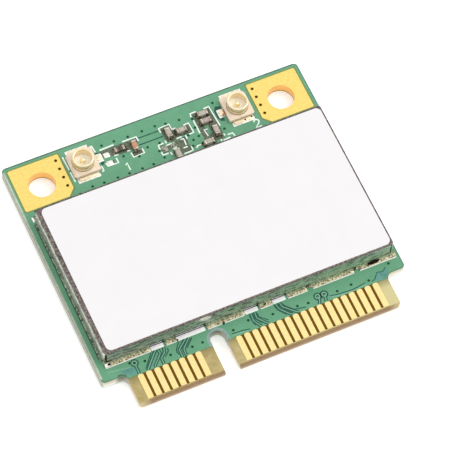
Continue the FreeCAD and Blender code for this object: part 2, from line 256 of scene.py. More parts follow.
board_low, board_high = box_mm("laminate")
contact_edge = board_low.y
mask_front = box_mm("solder_mask_top")[0].y
mask_level = box_mm("solder_mask_top")[1].z
mask_under = box_mm("solder_mask_bottom")[0].z
copper_level = box_mm("earth_pads_top")[1].z
copper_under = box_mm("earth_pads_bottom")[0].z
can_low, can_high = box_mm("shield_can")
end_caps = solids_of("chip_end_caps")
lands = solids_of("solder_lands")
foot_solder = solids_of("shield_solder")
front_strips = [strip for strip in foot_solder if strip[0].y == min(low.y for low, high in foot_solder)]
contacts = solids_of("edge_contacts_top")
earth_pads = solids_of("earth_pads_top")
mounts = {mount["name"]: mount for mount in frame["record"]["mounts"]}


def from_edge(*points):
    """Points given by their distance from the contact edge, in the card's frame."""
    return [(x, contact_edge + y) for x, y in points]


def all_from_edge(strokes):
    return [from_edge(*points) for points in strokes]


def arc(middle, radius, start, end, steps=8):
    """Points along an arc between two angles in degrees."""
    angles = [math.radians(start + (end - start) * step / steps) for step in range(steps + 1)]
    return [(middle[0] + radius * math.cos(angle), middle[1] + radius * math.sin(angle)) for angle in angles]


# Finishes


def colour(text):
    """A linear colour from an sRGB hex value."""
    parts = [int(text[start:start + 2], 16) / 255 for start in (1, 3, 5)]
    return [part / 12.92 if part <= 0.04045 else ((part + 0.055) / 1.055) ** 2.4 for part in parts] + [1]


def feed(node, inputs):
    """Sets a node's inputs, each to a value, a hex colour or what another node gives."""
    for name, value in inputs.items():
        if isinstance(value, bpy.types.Node):
            value = value.outputs[0]
        if isinstance(value, bpy.types.NodeSocket):
            node.id_data.links.new(value, node.inputs[name])
        elif isinstance(value, str):
            node.inputs[name].default_value = colour(value)
        else:
            node.inputs[name].default_value = value


def add(tree, kind, inputs, **settings):
    """A shader node with its settings and its inputs."""
    node = tree.nodes.new("ShaderNode" + kind)
    for name, value in settings.items():
        setattr(node, name, value)
    feed(node, inputs)
    return node


def new_finish(name, roughness, metallic=0.0):
    material = bpy.data.materials.new(name)
    material.use_nodes = True
    shader = material.node_tree.nodes["Principled BSDF"]
    feed(shader, {"Roughness": roughness, "Metallic": metallic})
    return material, material.node_tree, shader


def axes_of(tree, kind="Object"):
    """The three axes of a place on the card, or of the way that a face looks."""
    coordinates = add(tree, "TexCoord", {})
    return add(tree, "SeparateXYZ", {"Vector": coordinates.outputs[kind]}).outputs


def patches(tree, grain, detail=4, squeeze=(1, 1, 1)):
    """Clouded patches of one size in mm, fixed to the card, and squeezed along its three axes."""
    coordinates = add(tree, "TexCoord", {})
    place = add(tree, "Mapping", {"Vector": coordinates.outputs["Object"], "Scale": squeeze})
    settings = {"Vector": place, "Scale": 1 / (grain * MM), "Detail": detail, "Roughness": 0.6}
    return add(tree, "TexNoise", settings)


def aside(tree, distance, middle):
    """How far a place lies to either side of a middle given in mm."""
    offset = add(tree, "Math", {0: distance, 1: middle * MM}, operation="SUBTRACT")
    return add(tree, "Math", {0: offset}, operation="ABSOLUTE")


def over(value, low, high, start=0.0, end=1.0):
    """Inputs that take a value from one range to another."""
    return {"Value": value, "From Min": low, "From Max": high, "To Min": start, "To Max": end}


def over_mm(distance, low, high, start=0.0, end=1.0):
    """Inputs that take a distance, between two places in mm, to another range."""
    return over(distance, low * MM, high * MM, start, end)


def blend(tree, limits, first, second):
    """A colour that passes from one tint to another as a value crosses its limits."""
    share = add(tree, "MapRange", limits)
    return add(tree, "MixRGB", {"Fac": share, "Color1": first, "Color2": second})


def mottled(name, dark, light, grain, roughness, metallic=0.0, bump=0.0, contrast=(0.3, 0.7), shine=0.5):
    """A finish that drifts between two colours over patches of one size, with a fine bump of that size. A
    grain too fine for the picture is drawn as coarse as it needs to show."""
    material, tree, shader = new_finish(name, roughness, metallic)
    noise = patches(tree, grain)
    tint = blend(tree, over(noise, *contrast), dark, light)
    feed(shader, {"Base Color": tint, "Specular IOR Level": shine})
    if bump:
        feed(shader, {"Normal": add(tree, "Bump", {"Height": noise, "Distance": bump * MM})})
    return material


def green_lacquer():
    """Photo-printed solder lacquer over copper: satin green, clouded, finely speckled, a little swollen."""
    material, tree, shader = new_finish("satin_green_solder_lacquer", 0.36)
    clouds = patches(tree, 1.6)
    field = add(tree, "MixRGB", {"Fac": clouds, "Color1": "#4F8F6B", "Color2": "#6BA681"})
    speckled = blend(tree, over(patches(tree, 0.12, 2), 0.5, 0.75, 0.0, 0.4), field, "#427D5D")
    swell = add(tree, "Bump", {"Height": clouds, "Distance": 0.012 * MM})
    feed(shader, {"Base Color": speckled, "Normal": swell})
    return material


def contact_groups():
    """The two runs of contacts, either side of the key, as low and high corners."""
    gaps = [after[0].x - before[1].x for before, after in zip(contacts, contacts[1:])]
    key = gaps.index(max(gaps)) + 1
    return [(group[0][0], group[-1][1]) for group in (contacts[:key], contacts[key:])]


bevel_length = 0.25
key_centre = -3.7
key_radius = 0.75
shaded_corner = -12.9
shaded_corner_reach = 0.9
tongue_middle = 0.15


def contact_gaps(tree, axes):
    """A mask of the two runs of contacts, which shows only in the gaps between them, where shade is painted.
    """
    runs = []
    for low, high in contact_groups():
        middle = (low + high) / 2 * MM
        half = (high - low) / 2 * MM
        along = add(tree, "Math", {0: axes["X"], 1: middle.x, 2: half.x}, operation="COMPARE")
        across = add(tree, "Math", {0: axes["Y"], 1: middle.y, 2: half.y}, operation="COMPARE")
        runs.append(add(tree, "Math", {0: along, 1: across}, operation="MULTIPLY"))
    return add(tree, "Math", {0: runs[0], 1: runs[1]}, operation="MAXIMUM")


def tongue_faces(tree, axes, cloth, painted_gap_shade):
    """Colour of the tongue's faces: olive-tan, paler to the right, darker beside the lacquer, and painted
    brown as shade in the gaps between the contacts."""
    tone = blend(tree, over_mm(axes["X"], -6.0, 12.5), "#A08C50", "#C8BE88")
    tone = blend(tree, over(cloth, 0.3, 0.7, 0.0, 0.35), tone, "#D8CA94")
    tone = blend(tree, over_mm(axes["Y"], mask_front - 0.8, mask_front, 0.0, 0.75), tone, "#77703C")
    # Painted shade: the gaps between the contacts are painted brown.
    return add(tree, "MixRGB", {"Fac": painted_gap_shade, "Color1": tone, "Color2": "#6B4A08"})


def cut_edges(tree, axes, facing, cloth):
    """Colour of the board's cut edges: a grey, speckled saw cut, painted paler where it faces the front as if
    lit there, a tan milled tongue, painted shade at the key and the left shoulder, and a brown bevel along
    the contact edge."""
    upper = over_mm(axes["Z"], 0.15, 0.75)
    sawn = blend(tree, over(patches(tree, 0.1, 3), 0.35, 0.65), "#948F7D", "#C2BDAC")
    # Painted light: the cut edge that faces the front is painted paler than the others, near white low down.
    front = blend(tree, upper, "#FDFBF6", "#CFC7AA")
    sawn = blend(tree, over(facing["Y"], -0.9, -0.5, 0.85, 0.0), sawn, front)
    milled = blend(tree, upper, "#E9E0CE", "#B7A170")
    edge = blend(tree, over_mm(axes["Y"], contact_edge + 2.4, contact_edge + 2.9), milled, sawn)
    toward_front = add(tree, "MapRange", over(facing["Y"], -0.85, -0.3, 0.95, 0.0))
    # Painted shade on the cut edge at the key's end and at the left shoulder, darkest at the top.
    shade = blend(tree, upper, "#A8A794", "#55583F")
    for middle, reach in ((key_centre, 2 * key_radius), (shaded_corner, shaded_corner_reach)):
        away = aside(tree, axes["X"], middle)
        inside = add(tree, "MapRange", over_mm(away, reach / 2, reach, 1.0, 0.0))
        shaded = add(tree, "Math", {0: inside, 1: toward_front}, operation="MULTIPLY")
        edge = add(tree, "MixRGB", {"Fac": shaded, "Color1": edge, "Color2": shade})
    brown = add(tree, "MixRGB", {"Fac": cloth, "Color1": "#7E623E", "Color2": "#9A7C54"})
    brown = blend(tree, over_mm(aside(tree, axes["X"], tongue_middle), 11.7, 12.7), brown, "#C2B083")
    bevel = blend(tree, over_mm(axes["Z"], 0.36, 0.5), "#F4EBDF", brown)
    bevel_end = contact_edge + bevel_length
    return blend(tree, over_mm(axes["Y"], bevel_end, bevel_end + 0.01), bevel, edge)


def glass_epoxy():
    """Pressed glass cloth and epoxy: satin, olive-tan on its faces, grey, tan and brown on its cut edges."""
    material, tree, shader = new_finish("olive_glass_epoxy", 0.45)
    axes = axes_of(tree)
    facing = axes_of(tree, "Normal")
    cloth = patches(tree, 0.5, 3)
    painted_gap_shade = contact_gaps(tree, axes)
    face = tongue_faces(tree, axes, cloth, painted_gap_shade)
    edge = cut_edges(tree, axes, facing, cloth)
    flat = add(tree, "Math", {0: facing["Z"]}, operation="ABSOLUTE")
    on_face = add(tree, "Math", {0: flat, 1: 0.97}, operation="GREATER_THAN")
    tint = add(tree, "MixRGB", {"Fac": on_face, "Color1": edge, "Color2": face})
    # The painted gap shade also takes most of the shine from the gaps.
    shine = add(tree, "MapRange", over(painted_gap_shade, 0.0, 1.0, 0.5, 0.05))
    feed(shader, {"Base Color": tint, "Specular IOR Level": shine})
    return material


lid_edge = 0.07
front_bend_shade_depth = 0.16
wall_lean = 0.17


def flux_and_reflection_cover(tree, axes):
    """A mask of the walls that carry flux and a painted reflection of the green board: the front and the left
    one, and a little of the others.
    """
    near_front = add(tree, "MapRange", over_mm(axes["Y"], can_low.y + 0.3, can_low.y + 0.6, 1.0, 0.2))
    near_left = add(tree, "MapRange", over_mm(axes["X"], can_low.x + 0.3, can_low.x + 0.6, 1.0, 0.2))
    return add(tree, "Math", {0: near_front, 1: near_left}, operation="MAXIMUM")


def streaks_of_flux_and_reflection(tree, flux_and_reflection_share, wall):
    """The wall's colour under pale and dark streaks, drawn out along the sheet, partly flux and partly
    painted reflection.
    """
    streaks = patches(tree, 0.35, squeeze=(0.45, 0.45, 1.4))
    pale = add(tree, "MapRange", over(streaks, 0.52, 0.6, 0.0, 0.6))
    dark = add(tree, "MapRange", over(streaks, 0.4, 0.48, 0.75, 0.0))
    for mask, tint in ((pale, "#B4C6AA"), (dark, "#2C3E2E")):
        share = add(tree, "Math", {0: mask, 1: flux_and_reflection_share}, operation="MULTIPLY")
        wall = add(tree, "MixRGB", {"Fac": share, "Color1": wall, "Color2": tint})
    return wall


def lid_edges(tree, axes):
    """A mask of the lid's dull edge, and of the front bend, which is painted dark as shade to hide its bright
    line.
    """
    side_z = can_high.z - lid_edge
    above = add(tree, "MapRange", over_mm(axes["Z"], side_z - 0.02, side_z))
    inner = can_low.x + lid_edge / 2
    inside = add(tree, "MapRange", over_mm(axes["X"], inner, inner + lid_edge, 0.5, 1.0))
    at_side = add(tree, "Math", {0: above, 1: inside}, operation="MULTIPLY")
    # Painted shade: down the front bend the lid's dull colour hides the highlight that the bend would show.
    front_z = can_high.z - front_bend_shade_depth
    above_front = add(tree, "MapRange", over_mm(axes["Z"], front_z - 0.02, front_z))
    past_side = add(tree, "MapRange", over_mm(axes["X"], can_low.x + 0.3, can_low.x + 0.32))
    front_bend_shade = add(tree, "Math", {0: above_front, 1: past_side}, operation="MULTIPLY")
    return add(tree, "Math", {0: at_side, 1: front_bend_shade}, operation="MAXIMUM")


def rolled_sheet(tree, height, clouds, spots):
    """The lean of the can's walls, on which the sheet is wavy and finely pitted."""
    draft = add(tree, "Math", {0: height, 1: -wall_lean}, operation="MULTIPLY")
    lean = add(tree, "Bump", {"Height": draft, "Distance": 1.0})
    waves = add(tree, "Bump", {"Height": clouds, "Distance": 0.03 * MM, "Normal": lean})
    return add(tree, "Bump", {"Height": spots, "Distance": 0.014 * MM, "Normal": waves})


def tinned_steel():
    """Bright rolled tinplate: a wavy, clouded mirror on the walls, which shine as if they leaned in a little,
    spotted with tarnish, filmed at the foot with green flux and a painted reflection of the green board, and
    dull brown-grey round the lid's edge, carried down the front bend as painted shade."""
    material, tree, shader = new_finish("bright_tinplate", 0.12, 1.0)
    axes = axes_of(tree)
    clouds = patches(tree, 0.9)
    spots = patches(tree, 0.22)
    flux_and_reflection_share = flux_and_reflection_cover(tree, axes)
    # Painted reflection: the olive-to-green film near the foot is partly flux and partly the green board
    # mirrored in the walls, greener to the right; under it the walls lose their metal shine.
    rise = add(tree, "MapRange", over_mm(axes["Z"], can_low.z + 0.3, can_low.z + 1.4, 0.9, 0.3))
    flux = add(tree, "Math", {0: rise, 1: flux_and_reflection_share}, operation="MULTIPLY")
    clean = blend(tree, over(clouds, 0.35, 0.65), "#CBC8C2", "#EEECE8")
    olive = blend(tree, over(spots, 0.42, 0.58), "#525C48", "#949E84")
    green = blend(tree, over(spots, 0.42, 0.58), "#4A7A54", "#98C890")
    film = blend(tree, over_mm(axes["X"], -12.0, 8.0), olive, green)
    wall = add(tree, "MixRGB", {"Fac": flux, "Color1": clean, "Color2": film})
    wall = streaks_of_flux_and_reflection(tree, flux_and_reflection_share, wall)
    wall = blend(tree, over(spots, 0.57, 0.66, 0.0, 0.3), wall, "#58534A")
    lid = blend(tree, over(spots, 0.38, 0.62), "#453D3A", "#8C817B")
    lid_dulling_and_bend_shade = lid_edges(tree, axes)
    feed(shader, {
        "Base Color": add(tree, "MixRGB", {"Fac": lid_dulling_and_bend_shade, "Color1": wall, "Color2": lid}),
        "Roughness": add(tree, "MapRange", over(lid_dulling_and_bend_shade, 0.0, 1.0, 0.12, 0.4)),
        "Metallic": add(tree, "MapRange", over(flux, 0.0, 1.0, 1.0, 0.1)),
        "Normal": rolled_sheet(tree, axes["Z"], clouds, spots),
    })
    return material


def front_solder():
    """Solder along the can's front: tan with brown specks, and olive with flux where it meets the wall."""
    material, tree, shader = new_finish("tan_fluxed_solder", 0.38, 1.0)
    specks = patches(tree, 0.18)
    strip = blend(tree, over(specks, 0.38, 0.58), "#463C25", "#C4B998")
    film = blend(tree, over(specks, 0.4, 0.6), "#666C4C", "#AEB694")
    depth = axes_of(tree)["Y"]
    at_wall = add(tree, "MapRange", over_mm(depth, can_low.y - 0.26, can_low.y - 0.14, 0.0, 0.9))
    feed(shader, {
        "Base Color": add(tree, "MixRGB", {"Fac": at_wall, "Color1": strip, "Color2": film}),
        "Metallic": add(tree, "MapRange", over(at_wall, 0.0, 1.0, 1.0, 0.2)),
        "Normal": add(tree, "Bump", {"Height": specks, "Distance": 0.03 * MM}),
    })
    return material


def hole_gold():
    """Gold on the wall of a screw hole, warmed by its own reflections: orange, with painted brown shade at
    its lower end.
    """
    material, tree, shader = new_finish("orange_gold_lining", 0.4, 1.0)
    wall = add(tree, "MixRGB", {"Fac": patches(tree, 0.3), "Color1": "#ECB65E", "Color2": "#F9CA7C"})
    height = axes_of(tree)["Z"]
    # Painted shade: brown at the lining's lower end.
    feed(shader, {"Base Color": blend(tree, over_mm(height, 0.05, 0.25, 0.8, 0.0), wall, "#85602E")})
    return material


finishes = {
    "glass_epoxy": glass_epoxy(),
    "green_lacquer": green_lacquer(),
    # Thin gold over nickel: warm yellow, softly grained by the plated copper below it
    "gold_plating": mottled("grained_gold_plating", "#EDCF70", "#F5DE86", 0.25, 0.42, 1.0, 0.002),
    # Reflowed tin: bright, soft-edged and slightly warm
    "tinned_copper": mottled("bright_tin", "#BDB4A8", "#FBF7F0", 0.16, 0.4, 1.0, 0.01, (0.35, 0.5)),
    "tinned_steel": tinned_steel(),
    # Hand-laid solder with flux left on it: pale silver broken by brown specks, lumpy and glinting
    "solder": mottled("flux_stained_solder", "#5A5039", "#D5CFBC", 0.18, 0.38, 1.0, 0.03, (0.38, 0.54)),
    # Coated white film: matt, with the faintest fibre
    "label_paper": mottled("matt_white_film", "#E3E1E2", "#E5E3E4", 2.0, 0.6),
    # Heat-proof moulding: cream, waxy and a little pink
    "moulded_base": mottled("cream_moulding", "#E2CDB4", "#EFDDC8", 0.4, 0.45, 0.0, 0.006),
    # Gold flash on stamped bronze: pale and softly shining
    "gilt_shell": mottled("pale_gold_flash", "#F0DCB2", "#FDF0D2", 0.3, 0.4, 0.75, 0.006),
    # Turned pin with heavier gold: a fuller yellow
    "gilt_pin": mottled("deep_gold_plating", "#FBE2A6", "#FFF2CA", 0.2, 0.35, 0.85),
    # Black glass glaze over the resistor's film, worn to pale spots
    "resistor_glaze": mottled("black_resistor_glaze", "#2B251F", "#8B8074", 0.22, 0.3, bump=0.004,
                              contrast=(0.45, 0.7)),
    # Fired capacitor ceramic, tan and dull
    "tan_ceramic": mottled("tan_fired_ceramic", "#AF7350", "#CF9C78", 0.15, 0.5),
    # Fired capacitor ceramic, a warm grey
    "grey_ceramic": mottled("warm_grey_ceramic", "#A1988C", "#C4BCAF", 0.15, 0.5),
    # Moulded package resin: charcoal, finely pitted
    "black_resin": mottled("black_moulding_resin", "#161617", "#29292B", 0.2, 0.6, 0.0, 0.004),
}

# Harder gold on the edge contacts: paler than the pads
contact_gold = mottled("pale_hard_gold", "#EFD690", "#F8E5A6", 0.25, 0.4, 1.0, 0.002)
# Ferrite-ceramic inductor body: grey with a pink cast
pink_ceramic = mottled("pinkish_grey_ceramic", "#97827E", "#BDA8A2", 0.15, 0.5)
# Pin-holes in solder, painted black as the shade inside them, and black painted shade in the can's notches
black_pit_and_notch_shade = mottled("black_painted_shade_in_pits_and_notches", "#0A0806", "#1C1712", 0.05, 0.8, shine=0.1)
# Solder along the can's sides and on stained lands, dulled by flux: grey-olive with dark specks
dull_solder = mottled("flux_dulled_solder", "#454838", "#A3A994", 0.22, 0.45, 0.6, 0.02, (0.4, 0.58))
# Solder drawn up the chips and bridging gaps, under burnt flux, and round the chips painted dark as their
# shade: dark brown with pale glints
burnt_flux_and_chip_shade_solder = mottled("burnt_flux_and_painted_chip_shade", "#221C12", "#B9AE97", 0.16, 0.4, 1.0, 0.02, (0.42, 0.66))
# Bright tin along the front of the can's lands and on the end of the first strip: nearly white
land_tin = mottled("white_bright_tin", "#E6E2D8", "#FFFEFA", 0.2, 0.45, 0.5, 0.004)
# Moulded floor inside a receptacle's barrel: painted white as light, paler than the cream moulding, to lift
# the shade inside the barrel
barrel_floor_painted_light = mottled("moulding_painted_light_in_barrel", "#FBF6EA", "#FFFDF6", 0.3, 0.5)
# Plated chip ends under flux: cream-grey, blotched
dull_tin = mottled("flux_dulled_tin", "#85796A", "#DCD3C4", 0.12, 0.4, 1.0, 0.008, (0.35, 0.6))
# Screen-printed white ink: matt, with a green cast where the lacquer shows through
white_ink = mottled("white_screen_ink", "#E2EFE6", "#F8FEFA", 0.12, 0.55, 0.0, 0.004)
# Thick white ink under the can's notches, a little grey and pink
block_ink = mottled("thick_white_ink", "#EDE6E6", "#FBF8F8", 0.3, 0.5, 0.0, 0.006)
# Lacquer sunk over a plated hole: a small dark green pool, its darkness painted as the shade in the dip
via_pool_and_painted_shade = mottled("pooled_lacquer_and_painted_shade", "#0F3A24", "#1F5636", 0.1, 0.5, shine=0.1)
# Lacquer over bare laminate beside a track, and painted shade at the foot of the can's left side: dark, with
# a blue cast
clearance_and_shade_lacquer = mottled("dark_lacquer_over_laminate_and_painted_shade", "#164A3A", "#2A6552", 0.3, 0.4, shine=0.3)
# Lacquer over a patch of bare laminate: green with more blue than the field
window_lacquer = mottled("blue_lacquer_over_laminate", "#447F74", "#5A978A", 0.5, 0.35)
# Lacquer over bare laminate round the chips, dulled by flux and painted dark as the chips' shade: grey-olive
flux_and_chip_shade_lacquer = mottled("flux_and_painted_shade_lacquer", "#1F271B", "#76856A", 0.16, 0.45, 0.0, 0.006)
# Lacquer drawn thin over a raised track or the edge of the copper: pale green
track_lacquer = mottled("thin_lacquer_over_copper", "#6CA188", "#86B69C", 0.2, 0.4)
# Lacquer that stops short of the routed edge: dark grey-green
rim_lacquer = mottled("dark_lacquer_rim", "#47725A", "#618C72", 0.3, 0.4)
# Lacquer worn thin along the left side of the board: pale grey-green
worn_lacquer = mottled("worn_lacquer_edge", "#9EAA94", "#C6CEBC", 0.35, 0.45, 0.0, 0.004)
# Lacquer thinned by the cutter round the key: blue-grey
key_lacquer = mottled("blue_grey_lacquer_rim", "#6E8C88", "#98B0A8", 0.3, 0.4)
# Lacquer at the back edge and in the shade of a rounded corner: dark grey-green
shaded_lacquer = mottled("shaded_lacquer_rim", "#3E5A4A", "#5C7866", 0.3, 0.4, shine=0.3)
# Lacquer that ends at a gold pad: dark olive
pad_rim_lacquer = mottled("olive_lacquer_rim", "#5E743A", "#7C8E54", 0.2, 0.4)
# Painted shade in the seams and groove of a receptacle, with flux caught there: brown
seam_shade_and_flux = mottled("brown_painted_seam_shade_and_flux", "#5A4028", "#9A7A56", 0.1, 0.5)
# Flux burnt onto a tab: orange-brown
burnt_flux = mottled("burnt_orange_flux", "#7A3E14", "#C4823F", 0.12, 0.4, 0.0, 0.004)
# Inside of a small plated hole: brown shade
deep_hole = mottled("shaded_hole_wall", "#3A2502", "#6E4A08", 0.05, 0.6, 1.0)


def paint_nodes():
    """Every node of the card takes the finish of its slot."""
    for part in frame["record"]["subparts"]:
        node = nodes[part["node"]]
        node.data.materials.clear()
        node.data.materials.append(finishes[part["material_slot"]])
    for name in ("edge_contacts_top", "edge_contacts_bottom"):
        nodes[name].data.materials[0] = contact_gold


# Printed marks, in mm from the board's middle and from the contact edge

ink_width = 0.14
ink_height = 0.012

first_network_marks = [
    [(-5.83, 25.19), (-4.38, 25.25)],
    [(-3.53, 25.22), (-2.13, 25.22), (-2.1, 24.72)],
    [(-4.78, 24.15), (-4.37, 24.12)],
    [(-3.49, 24.13), (-3.18, 24.1)],
    [(-4.71, 23.87), (-4.69, 23.34), (-5.73, 23.34), (-5.81, 23.73)],
    [(-2.11, 23.85), (-2.08, 23.38), (-3.19, 23.32), (-3.23, 23.86)],
]

first_receptacle_marks = [
    [(-9.25, 25.85), (-9.2, 24.35)],
    [(-9.2, 24.1), (-9.15, 23.0)],
    [(-6.35, 25.95), (-6.25, 25.15)],
    [(-6.3, 23.62), (-6.28, 23.09), (-6.49, 23.05)],
]

middle_network_marks = [
    [(0.16, 24.71), (0.14, 25.22), (1.23, 25.28), (1.24, 24.66), (1.61, 24.67)],
    [(2.42, 24.66), (2.96, 24.7), (3.0, 23.6), (2.54, 23.57)],
    [(1.27, 23.59), (1.78, 23.62)],
    [(2.17, 23.62), (2.17, 23.21)],
    [(1.56, 23.37), (1.85, 23.33), (1.82, 22.63)],
    [(1.46, 22.42), (1.87, 22.43)],
    [(-0.05, 23.62), (-0.6, 23.58), (-0.62, 23.1)],
    [(-0.61, 22.8), (-0.6, 22.47), (-0.05, 22.46)],
    [(0.08, 23.28), (0.66, 23.3)],
    [(0.19, 23.8), (0.2, 23.51)],
    [(0.17, 22.49), (0.21, 22.17)],
    [(0.83, 23.33), (0.85, 23.01)],
    [(0.54, 22.68), (0.91, 22.75)],
    [(2.19, 22.31), (2.19, 21.91), (1.87, 21.84), (1.27, 21.85)],
]

second_receptacle_marks = [
    [(3.43, 25.16), (3.51, 25.54), (4.1, 25.55)],
    [(4.88, 25.56), (5.42, 25.58), (5.56, 23.3)],
    [(3.5, 24.76), (3.5, 23.28)],
    [(4.34, 23.41), (3.99, 23.44), (4.09, 22.73)],
    [(3.5, 22.42), (3.5, 22.06)],
    [(3.11, 22.13), (2.76, 22.14), (2.58, 21.96)],
    [(5.51, 22.4), (5.56, 22.15)],
    [(5.03, 21.93), (5.02, 21.72)],
    [(5.8, 22.15), (6.3, 22.15), (6.4, 21.75)],
    [(5.2, 21.75), (5.95, 21.8)],
]

number_one = [(-0.2, 0.62), (0.0, 0.8), (0.0, 0.0)]
number_two = [(-0.25, 0.62), (-0.12, 0.8), (0.14, 0.8), (0.27, 0.62), (0.2, 0.42), (-0.27, 0.0), (0.3, 0.0)]
number_one_foot = (-4.0, 22.2)
number_two_foot = (8.85, 21.8)


def print_marks():
    """White outlines round the chips and receptacles, and a plain number beside each receptacle."""
    marks = first_network_marks + first_receptacle_marks + middle_network_marks + second_receptacle_marks
    strokes = all_from_edge(marks)
    for figure, foot in ((number_one, number_one_foot), (number_two, number_two_foot)):
        strokes.append(from_edge(*[(foot[0] + x, foot[1] + y) for x, y in figure]))
    lay_lacquer_lines([("printed_marks", strokes, ink_width, ink_height, white_ink)])


narrow_gap = 1.0
block_under_wall = 0.1
block_left_gap = 0.04
block_right_gap = 0.18
block_front_gap = 0.02
notch_shade_gap = 0.03
block_thickness = 0.03
notch_shade_width = 0.09
notch_shade_height = 0.06
notch_shade_end = 0.02
block_line_start = 0.06
block_line_end = 0.02
block_line_width = 0.13
block_line_height = 0.035


def front_gaps(wide):
    """Neighbouring strips of the front solder, with a wide gap between them or with a narrow one."""
    pairs = zip(front_strips, front_strips[1:])
    return [(before, after) for before, after in pairs if (after[0].x - before[1].x > narrow_gap) == wide]


def print_blocks():
    """White patches under the notches in the can's front wall, each with a bright line along its front and a
    black line of painted shade where it meets the wall."""
    blocks = []
    fronts = []
    notch_shade_lines = []
    back = can_low.y - notch_shade_gap
    for before, after in front_gaps(wide=True):
        left = before[1].x + block_left_gap
        right = after[0].x - block_right_gap
        front = before[0].y + block_front_gap
        low = (left, front, mask_level - block_thickness)
        high = (right, can_low.y + block_under_wall, mask_level + block_thickness)
        block = add_block("block", low, high)
        round_edges(block, block_thickness / 2)
        blocks.append(block)
        fronts.append([(left + block_line_start, front), (right - block_line_end, front)])
        notch_shade_lines.append([(left, back), (after[0].x - notch_shade_end, back)])
    finish_piece(join(blocks, "printed_blocks"), block_ink)
    lay_lacquer_lines([("printed_block_fronts", fronts, block_line_width, block_line_height, white_ink)])
    # Painted shade: a black line along the wall for the dark inside of the notch.
    flux = draw_lines("painted_notch_shade", notch_shade_lines, notch_shade_width, notch_shade_height, mask_level)
    finish_piece(flux, black_pit_and_notch_shade)


# Edges of the lacquer

shoulder = contact_edge + 3.25
tongue_left = -12.7
tongue_right = 13.0
root_radius = 0.6
corner_radius = 0.4
key_end = contact_edge + 4.15 - key_radius
pad_chamfer = 0.7
rim_inset = 0.06
corner_inset = 0.13
left_inset = 0.105
back_inset = 0.07
rim_width = 0.12
rim_height = 0.006
worn_width = 0.2
worn_height = 0.008
back_width = 0.13
back_height = 0.009
key_rim_width = 0.3
shoulder_rim_width = 0.24
pad_rim_width = 0.34


def board_rim(inset):
    """The lacquer's outline from one side of the tongue round the board to the other, and round the key."""
    root = root_radius + inset
    corner = corner_radius - inset
    low = shoulder + corner_radius
    start = math.degrees(math.asin((mask_front - shoulder + root_radius) / root))
    round_board = arc((tongue_left - root_radius, shoulder - root_radius), root, start, 90)
    round_board += arc((board_low.x + corner_radius, low), corner, 270, 180, 4)
    round_board += arc((board_low.x + corner_radius, board_high.y - corner_radius), corner, 180, 90, 4)
    round_board += arc((board_high.x - corner_radius, board_high.y - corner_radius), corner, 90, 0, 4)
    round_board += arc((board_high.x - corner_radius, low), corner, 0, -90, 4)
    round_board += arc((tongue_right + root_radius, shoulder - root_radius), root, 90, 180 - start)
    reach = key_radius + inset
    round_key = [(key_centre + reach, mask_front)]
    round_key += arc((key_centre, key_end), reach, 0, 180, 12)
    round_key.append((key_centre - reach, mask_front))
    return [round_board, round_key]


def pad_rim(pad):
    """Outline of an earth pad, with its corner clipped beside the receptacle."""
    low, high = pad
    outer, inner = (low.x, high.x) if low.x < 0 else (high.x, low.x)
    inward = 1 if inner > outer else -1
    clipped = inner - inward * pad_chamfer
    return [(clipped, low.y), (outer, low.y), (outer, high.y), (inner, high.y), (inner, low.y + pad_chamfer),
            (clipped, low.y)]


def edge_lacquer():
    """The lacquer's dark rim round the board, its worn left side and shaded back, its edges round the key and
    at the left shoulder, and its dark edge round the gold pads."""
    left = board_low.x + left_inset
    left_side = [(left, shoulder + corner_radius), (left, board_high.y - corner_radius)]
    back = board_high.y - back_inset
    back_side = [(board_low.x + corner_radius, back), (board_high.x - corner_radius, back)]
    left_root = arc((tongue_left - root_radius, shoulder - root_radius), root_radius + corner_inset, 40, 100)
    lay_lacquer_lines([
        ("lacquer_rim", [board_rim(rim_inset)[0]], rim_width, rim_height, rim_lacquer),
        ("worn_lacquer", [left_side], worn_width, worn_height, worn_lacquer),
        ("lacquer_at_back", [back_side], back_width, back_height, shaded_lacquer),
        ("lacquer_at_key", [board_rim(corner_inset)[1]], key_rim_width, worn_height, key_lacquer),
        ("lacquer_at_shoulder", [left_root], shoulder_rim_width, worn_height, shaded_lacquer),
        ("lacquer_at_pads", [pad_rim(pad) for pad in earth_pads], pad_rim_width, rim_height, pad_rim_lacquer),
    ])


# Tracks and openings in the copper, seen through the lacquer, and painted shade beside the can and round the
# chips

track_width = 0.1
gap_width = 0.34
track_height = 0.014
clearance_height = 0.005
copper_gap_width = 0.11
copper_gap_height = 0.007
copper_edge_width = 0.09
copper_edge_height = 0.008
antenna_gap_width = 0.13
can_side_shade_width = 0.1
long_gap_height = 0.006
copper_window_height = 0.002
chip_window_height = 0.003
island_height = 0.005

track_routes = [
    [(-9.37, 4.45), (-10.64, 3.05), (-10.75, 2.9)],
    [(-9.12, 4.45), (-9.07, 4.0), (-9.96, 3.1), (-9.95, 2.9)],
    [(-8.56, 4.45), (-8.66, 3.99), (-9.17, 3.53), (-9.17, 2.9)],
    [(-11.57, 3.75), (-11.57, 2.9)],
    [(-6.42, 4.45), (-7.31, 3.72), (-7.36, 3.55), (-7.36, 2.9)],
    [(-6.07, 4.45), (-6.92, 3.64), (-6.98, 3.44), (-6.98, 2.95), (-6.8, 2.9)],
    [(0.02, 4.45), (-0.04, 3.67), (0.27, 3.12), (0.4, 2.9)],
    [(0.4, 4.45), (0.34, 3.84), (0.94, 3.08), (1.15, 2.9)],
    [(2.48, 4.45), (2.57, 3.89), (3.23, 3.11), (3.5, 2.9)],
    [(2.84, 4.45), (2.97, 3.93), (3.87, 3.05), (4.1, 2.9)],
    [(6.31, 3.65), (6.35, 3.3), (6.15, 2.9)],
    [(6.95, 3.63), (6.85, 2.9)],
]

